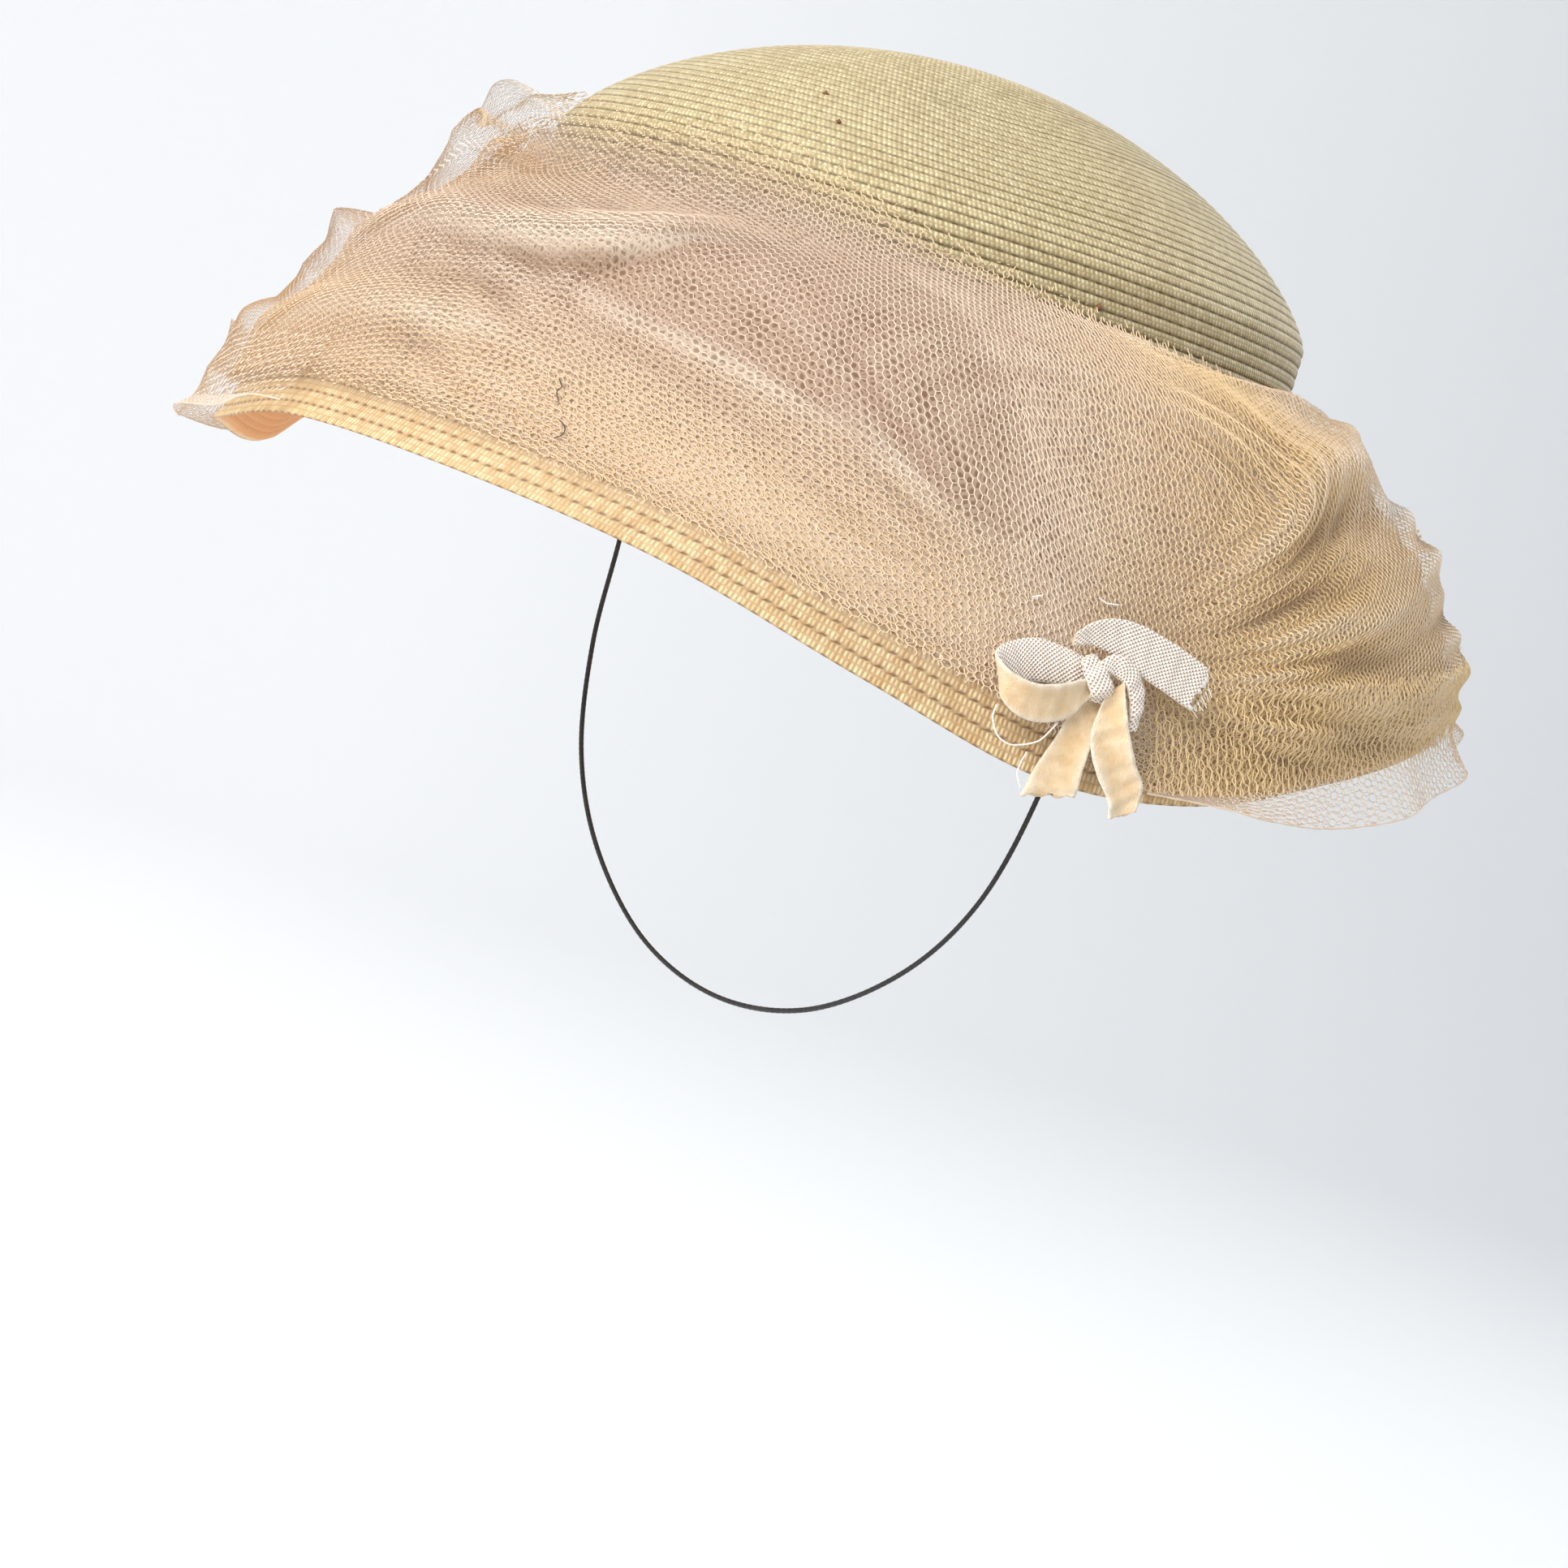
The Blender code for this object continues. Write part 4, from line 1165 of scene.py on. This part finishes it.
# Each row is a ribbon's middle on the bow's face, in millimetres across, up and out, then the way that its width
# runs: spin in the face and lean out of it, in degrees, and its width.
BOW_LOOP = (
    (-0.4, -2.2, 1.6, 80, 12, 4.4), (-5.6, -4.6, 3.0, 82, 24, 8.2), (-12.0, -4.6, 3.8, 84, 30, 9.0),
    (-16.8, -2.2, 3.2, 92, 22, 9.0), (-19.0, 1.0, 1.8, 96, 8, 9.0), (-16.6, 2.8, -0.2, 92, 0, 9.0),
    (-11.6, 3.4, -1.0, 86, -4, 8.6), (-6.4, 2.0, -1.0, 82, -4, 7.6), (-1.8, 0.6, -0.4, 82, 0, 6.0),
)
TAIL_UPPER = (
    (-3.8, 7.4, 1.6, 70, 20, 3.0), (0.0, 8.3, 2.2, 82, 24, 5.4), (4.2, 7.6, 2.8, 82, 18, 7.8),
    (8.4, 5.6, 3.2, 74, 10, 9.0), (13.2, 2.6, 3.0, 64, 6, 9.2), (17.8, -0.6, 2.2, 59, 4, 9.2),
    (22.2, -4.0, 1.2, 57, 2, 8.8),
)
TAIL_FRONT = (
    (0.8, -4.3, -1.0, -14, 4, 4.6), (-2.0, -9.0, -0.4, -26, 10, 6.4), (-4.6, -14.0, 0.6, -30, 16, 7.8),
    (-7.4, -19.0, 0.8, -20, 10, 9.6), (-9.6, -23.4, 0.4, -4, 6, 11.2),
)
TAIL_BACK = (
    (4.6, -2.6, 3.2, 30, 20, 4.4), (3.6, -7.6, 3.4, 16, 24, 7.0), (3.2, -12.6, 3.4, 4, 16, 8.4),
    (4.2, -18.4, 3.2, 6, 6, 8.4), (6.0, -23.6, 2.6, 14, 0, 7.4), (5.4, -28.0, 1.8, 10, 4, 5.6),
)
KNOT_WRAP = (
    (-1.0, 3.4, 0.6, 20, 0, 3.4), (-0.2, 2.4, 3.0, 14, 4, 4.2), (1.0, -0.4, 4.4, 8, 6, 4.8),
    (1.8, -3.2, 3.8, 0, 6, 5.0), (1.4, -5.4, 1.6, -10, 0, 4.6),
)
BACK_CURL = (
    (1.6, 1.2, 3.6, 100, 20, 3.2), (4.6, 2.0, 4.0, 84, 0, 4.4), (7.6, 0.0, 3.9, 40, -20, 4.2),
    (9.0, -3.6, 3.6, 8, -30, 3.6), (8.9, -7.4, 3.2, 0, -30, 3.0), (7.8, -11.4, 2.6, -6, -30, 2.0),
)
RIBBON_THICK = 1.1 * MM


# %% Place of the bow
def bow_axes():
    """The bow's across, up and out, as columns."""
    turn, tip, roll = (math.radians(a) for a in (BOW_FACE_TURN, BOW_FACE_TIP, BOW_FACE_ROLL))
    out = way_out(turn, tip)
    level = np.array([math.cos(turn), math.sin(turn), 0])
    upright = np.cross(out, level)
    across = level * math.cos(roll) - upright * math.sin(roll)
    return np.stack([across, np.cross(out, across), out], axis=1)


def bow_place(face):
    """Points of the bow, from millimetres across and up its face and out from the brim behind it."""
    face = np.array(face, float)
    face[..., 2] += BRIM_ACROSS * face[..., 0] + BRIM_UP * face[..., 1]
    return placed(BOW_TURN, BOW_OUT, -BOW_DROP) + face * MM @ bow_axes().T


# %% Velvet and twill
# The third colour is the pale fuzz along the pile's edges together with a painted highlight.
VELVET_DEEP, VELVET_CREAM, VELVET_FUZZ_AND_HIGHLIGHT = (0.72, 0.49, 0.26), (0.85, 0.68, 0.46), (0.97, 0.91, 0.80)
TWILL_PALE, TWILL_HOLE = (0.95, 0.885, 0.80), (0.42, 0.265, 0.16)
WEAVE_LONG, WEAVE_WIDE = 1.05, 0.92  # millimetres from one hole of the weave to the next


def velvet_finish():
    """Cream velvet pile: bright where it is seen edge on, lightened along its edges partly by its pale fuzz and
    partly by a painted highlight, and streaked where it is pressed.
    """
    made, tree, shader = new_finish("cream_velvet", 0.85, sheen=0.9)
    shader.inputs["Sheen Roughness"].default_value = 0.35
    shader.inputs["Sheen Tint"].default_value = (1.0, 0.93, 0.8, 1)
    _, _, border = kept_value(tree, "ribbon")
    pressed = stretch(tree, cloudy(tree, 230, 4.0), 0.32, 0.68)
    colour = blend_colours(tree, pressed, VELVET_DEEP, VELVET_CREAM)
    # Along the edges: the pile's pale fuzz with a painted highlight.
    fuzz_and_painted_highlight = times(tree, border, stretch(tree, cloudy(tree, 1500, 2.0), 0.3, 0.7, 0.3, 1.0))
    feed(tree, shader.inputs["Base Color"], blend_colours(tree, fuzz_and_painted_highlight, colour, VELVET_FUZZ_AND_HIGHLIGHT))
    pile = reckon(tree, "ADD", cloudy(tree, 5200, 2.0), times(tree, pressed, 1.5))
    raise_surface(tree, shader, pile, 0.0003, 0.9)
    return made


def twill_finish():
    """The ribbon's pale back: an open weave whose small holes stand in a diamond pattern."""
    made, tree, shader = new_finish("ribbon_back", 0.42, sheen=0.1)
    along, across, _ = kept_value(tree, "ribbon")
    long_wave = reckon(tree, "SINE", times(tree, along, 2 * math.pi / WEAVE_LONG))
    wide_wave = reckon(tree, "SINE", times(tree, across, 2 * math.pi / WEAVE_WIDE))
    weave = times(tree, long_wave, wide_wave)
    holes = stretch(tree, weave, 0.12, 0.55)
    feed(tree, shader.inputs["Base Color"], blend_colours(tree, holes, TWILL_PALE, TWILL_HOLE))
    raise_surface(tree, shader, times(tree, weave, -1.0), 0.0002, 0.9)
    return made


RIBBON_FINISHES = (velvet_finish(), twill_finish())


# %% Ribbons
def ribbon(name, rows, node, velvet_side, length_steps=64, width_steps=12, cup=0.0, fray=0.0, ruck=0.15):
    """A ribbon through rows, with its velvet on one side (1 or -1) of its grid and its twill on the other."""
    values = through(np.array(rows, float), np.linspace(0, 1, length_steps))
    middle, spin, lean, wide = values[:, :3], np.radians(values[:, 3]), np.radians(values[:, 4]), values[:, 5]
    way = np.stack([np.cos(spin) * np.cos(lean), np.sin(spin) * np.cos(lean), np.sin(lean)], 1)
    across = np.linspace(-0.5, 0.5, width_steps)
    face = middle[:, None] + way[:, None] * (wide[:, None] * across[None])[..., None]
    if fray:
        ragged = chance.uniform(-fray, fray, width_steps)
        tip = face[-1] - face[-2]
        tip /= np.linalg.norm(tip, axis=-1, keepdims=True)
        face[-1] += tip * ragged[:, None]
    points = bow_place(face)
    along = np.gradient(points, axis=0)
    side = np.gradient(points, axis=1)
    normal = np.cross(along, side)
    normal /= np.linalg.norm(normal, axis=-1, keepdims=True)
    run = run_lengths(points[:, width_steps // 2])[:, None]
    soft = ruck * MM * np.sin(run / MM * 1.3 + 3 * across[None]) * np.sin(run / MM * 0.47)
    points = points + normal * (cup * MM * (4 * across[None] ** 2 - 0.4) + soft)[..., None]
    thick = RIBBON_THICK / 2 * (1 - 0.55 * (2 * np.abs(across[None])) ** 6)
    sheet_points = np.stack([points + normal * thick[..., None], points - normal * thick[..., None]])
    count = length_steps * width_steps
    front = grid_faces(length_steps, width_steps, False)[:, ::-1]
    back = grid_faces(length_steps, width_steps, False) + count
    grid = np.arange(count).reshape(length_steps, width_steps)
    outline = np.concatenate([grid[:, 0], grid[-1, 1:], grid[-2::-1, -1], grid[0, -2:0:-1]])
    beyond = np.roll(outline, -1)
    rim = np.stack([outline, beyond, beyond + count, outline + count], 1)
    faces = np.concatenate([front, back, rim])
    velvet, twill = (0, 1) if velvet_side > 0 else (1, 0)
    finish_of = np.repeat([velvet, twill, 0], [len(front), len(back), len(rim)])
    border = (2 * np.abs(across[None])) ** 5
    one_side = np.stack(np.broadcast_arrays(run / MM, across[None] * wide[:, None], border), -1)
    kept = np.broadcast_to(one_side, (2, *one_side.shape))
    piece = make_piece(name, sheet_points, faces, RIBBON_FINISHES, {"ribbon": kept}, finish_of)
    if node:
        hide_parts(node)
    return piece


bow_pieces = [
    ribbon("velvet_loop", BOW_LOOP, "bow_loop", -1, 90, 14, cup=-0.5, ruck=0.12),
    ribbon("velvet_tail_upper", TAIL_UPPER, "bow_tail_upper", -1, 70, 14, cup=0.2, fray=0.7),
    ribbon("velvet_tail_front", TAIL_FRONT, "bow_tail_front", 1, 64, 14, cup=0.9, fray=0.5, ruck=0.2),
    ribbon("velvet_tail_back", TAIL_BACK, "bow_tail_back", 1, 70, 12, cup=1.1, fray=0.3, ruck=0.2),
    ribbon("velvet_knot", KNOT_WRAP, "bow_knot", -1, 48, 12, cup=-0.5, ruck=0.4),
    ribbon("velvet_back_curl", BACK_CURL, None, -1, 60, 10, cup=-0.4, ruck=0.2),
]
print("bow", sum(triangles(piece) for piece in bow_pieces), "triangles")

# %% [markdown]
# ## Loose threads and marks
# The hat is old. White sewing threads hang in loops beside the bow, the ribbon's cut end is frayed, and there are
# a few dark specks on the straw and bits of lint in the net. An image could show them, but they stand off the
# surface and throw small shadows. So each is modelled.

# %% Loose threads
LOOSE_THICK = 0.42 * MM
LOOSE_STEPS, LOOSE_SIDES, LOOSE_TWIST = 140, 8, 1.6 * MM
LOOSE_LONG = (
    (-19.7, -5.0, 1.0), (-20.5, -7.4, 1.6), (-19.7, -10.7, 1.6), (-17.6, -12.6, 1.8), (-15.0, -13.0, 2.0),
    (-11.3, -12.4, 2.2), (-8.7, -10.4, 1.8), (-7.3, -9.0, 1.0),
)
LOOSE_SHORT = ((-13.6, -14.6, 0.8), (-14.8, -16.4, 1.6), (-15.6, -18.6, 1.8), (-15.0, -21.4, 1.0))
FRAY_ROOT, FRAY_COUNT = ((20.4, -7.6, 1.4), (24.0, -3.4, 1.4)), 14
FRAY_REACH = ((0.2, 1.4), (-2.6, -0.6), (-0.6, 0.8))
STITCHES = (((62.3, 0.80), (63.2, 0.793)), ((68.6, 0.772), (69.4, 0.776)), ((69.4, 0.776), (70.6, 0.774)))


def thread_white():
    made, tree, shader = new_finish("white_thread", 0.5, sheen=0.2)
    colour = blend_colours(tree, cloudy(tree, 3000), (0.78, 0.72, 0.62), (0.96, 0.93, 0.87))
    feed(tree, shader.inputs["Base Color"], colour)
    return made


white_thread = thread_white()


def twisted_thread(name, route):
    """A two-strand sewing thread through a route on the bow's face."""
    path = through(bow_place(np.array(route)), np.linspace(0, 1, LOOSE_STEPS))
    run = run_lengths(path)
    round_it = 2 * math.pi * np.arange(LOOSE_SIDES)[None] / LOOSE_SIDES
    radius = LOOSE_THICK / 2 * (0.8 + 0.2 * np.cos(2 * (round_it - 2 * math.pi * run[:, None] / LOOSE_TWIST)))
    print(name, round(float(run[-1]), 4), "m long")
    rings = tube_rings(path, radius, LOOSE_SIDES)
    return make_piece(name, rings, grid_faces(LOOSE_STEPS, LOOSE_SIDES, True), white_thread)


def on_net(turn, down, lift):
    """A point just off the outer ply."""
    return ply(np.array(turn), np.array(down), np.array(1.0), lift)


def short_hairs(name, firsts, lasts, radius, finish):
    """Straight bits of thread, each a three-sided prism, in one mesh."""
    ends = np.arange(2 * len(firsts)).reshape(2, -1).T
    return threads(name, np.concatenate([firsts, lasts]), ends, radius, finish, np.zeros((2 * len(firsts), 3)))


twisted_thread("loose_thread_long", LOOSE_LONG)
twisted_thread("loose_thread_short", LOOSE_SHORT)
share = np.linspace(0, 1, FRAY_COUNT)[:, None]
fray_root = (1 - share) * np.array(FRAY_ROOT[0]) + share * np.array(FRAY_ROOT[1])
fray_tip = fray_root + np.stack([chance.uniform(low, high, FRAY_COUNT) for low, high in FRAY_REACH], 1)
short_hairs("frayed_ends", bow_place(fray_root), bow_place(fray_tip), 0.1 * MM, white_thread)
stitch_ends = np.array([[on_net(turn, down, 1.2 * MM) for turn, down in stitch] for stitch in STITCHES])
short_hairs("stitches", stitch_ends[:, 0], stitch_ends[:, 1], 0.22 * MM, white_thread)

# %% Specks and lint
CROWN_SPECKS = ((20.5, 37.0, 1.9), (27.0, 31.2, 2.0), (71.7, 9.0, 2.2), (43.2, 16.9, 1.1), (33.0, 12.0, 0.9))
NET_SPECKS = ((97, 0.68, 0.55), (96, 0.69, 0.45), (104, 0.69, 0.4))
LINT = (
    ((17.0, 0.805), (17.6, 0.815), (17.4, 0.825), (18.0, 0.84)),
    ((19.0, 0.868), (19.7, 0.875), (19.9, 0.888), (19.4, 0.90)),
)


def dark_mark(name, colour):
    made, tree, shader = new_finish(name, 0.8)
    feed(tree, shader.inputs["Base Color"], colour)
    return made


def speck(middle, size):
    """Corners of a small uneven lump."""
    corners = np.array([(1, 0, 0), (0, 1, 0), (-1, 0, 0), (0, -1, 0), (0, 0, 1), (0, 0, -1)], float)
    return middle + corners * size * MM / 2 * chance.uniform(0.6, 1.2, (6, 3))


SPECK_FACES = np.array([(0, 1, 4), (1, 2, 4), (2, 3, 4), (3, 0, 4), (1, 0, 5), (2, 1, 5), (3, 2, 5), (0, 3, 5)])
lumps = [speck(dented(placed(turn, crown_radius(high * MM) + 0.4 * MM, high * MM)), size)
         for turn, high, size in CROWN_SPECKS]
lumps += [speck(on_net(turn, down, 0.7 * MM), size) for turn, down, size in NET_SPECKS]
speck_faces = np.concatenate([SPECK_FACES + 6 * k for k in range(len(lumps))])
make_piece("specks", np.concatenate(lumps), speck_faces, dark_mark("dark_speck", (0.20, 0.095, 0.035)))
lint_lines = [through([on_net(turn, down, 1.0 * MM) for turn, down in line], np.linspace(0, 1, 12)) for line in LINT]
lint_firsts = np.concatenate([line[:-1] for line in lint_lines])
lint_lasts = np.concatenate([line[1:] for line in lint_lines])
short_hairs("lint", lint_firsts, lint_lasts, 0.14 * MM, dark_mark("dark_lint", (0.06, 0.045, 0.04)))
print("marks", len(lumps), "specks and", len(lint_lines), "bits of lint")

# %% [markdown]
# ## The room
# A plain pale floor runs up into a pale backdrop, and soft daylight comes from the whole room. One large soft
# light from the upper left and front models the folds, and a weaker one from behind brightens the net's edges. A
# room with real walls would put a corner behind the hat, so floor and wall are one bent sheet.

# %% Room
FLOOR_LOW = -0.40
ROOM_RADIUS, ROOM_BEND, ROOM_TALL = 3.4, 1.2, 2.6
ROOM_STEPS = 96


def room_finish():
    """Matt pale paint, with painted shade that makes it greyer and cooler towards one side, where less light falls.
    """
    made, tree, shader = new_finish("pale_room", 0.95)
    place = tree.nodes.new("ShaderNodeTexCoord").outputs["Object"]
    parts = tree.nodes.new("ShaderNodeSeparateXYZ")
    tree.links.new(place, parts.inputs[0])
    # Painted shade: the sheet darkens towards the camera's right, away from the window light.
    side = reckon(tree, "ADD", times(tree, parts.outputs[0], 0.707), times(tree, parts.outputs[1], 0.707))
    share = stretch(tree, side, -0.35, 1.1)
    feed(tree, shader.inputs["Base Color"], blend_colours(tree, share, (0.98, 0.985, 0.985), (0.68, 0.70, 0.715)))
    return made


def soft_light(name, place, size, power, colour=(1, 1, 1)):
    """A square light at a place that shines at the hat."""
    lamp = bpy.data.lights.new(name, "AREA")
    lamp.size = size
    lamp.energy = power
    lamp.color = colour
    made = bpy.data.objects.new(name, lamp)
    made.location = place
    made.rotation_euler = (Vector((0, 0, -0.03)) - Vector(place)).to_track_quat("-Z", "Y").to_euler()
    bpy.context.scene.collection.objects.link(made)
    return made


def build_room():
    """A round floor that bends up into a wall with no edge between them."""
    bend = np.linspace(0, math.pi / 2, 24)
    line = [(r, 0.0) for r in np.linspace(0.02, ROOM_RADIUS - ROOM_BEND, 8)]
    line += [(ROOM_RADIUS - ROOM_BEND + ROOM_BEND * math.sin(a), ROOM_BEND * (1 - math.cos(a))) for a in bend[1:]]
    line += [(ROOM_RADIUS, ROOM_BEND + k * (ROOM_TALL - ROOM_BEND) / 4) for k in range(1, 5)]
    round_it = 2 * math.pi * np.arange(ROOM_STEPS) / ROOM_STEPS
    points = [(r * math.cos(a), r * math.sin(a), FLOOR_LOW + z) for r, z in line for a in round_it]
    mesh = bpy.data.meshes.new("floor")
    mesh.from_pydata(points, [], grid_faces(len(line), ROOM_STEPS, True).tolist() + [tuple(range(ROOM_STEPS))])
    mesh.shade_smooth()
    mesh.materials.append(room_finish())
    floor = bpy.data.objects.new("floor", mesh)
    bpy.context.scene.collection.objects.link(floor)
    world = bpy.data.worlds.new("daylight")
    bpy.context.scene.world = world
    world.use_nodes = True
    world.node_tree.nodes["Background"].inputs[0].default_value = (0.95, 0.965, 1.0, 1)
    world.node_tree.nodes["Background"].inputs[1].default_value = 0.88
    bpy.context.scene.view_settings.view_transform = "Standard"


build_room()
soft_light("window", (0.1, -1.6, 1.0), 1.1, 34, (1.0, 0.985, 0.95))
soft_light("rear", (0.2, 1.5, 0.9), 1.0, 8)
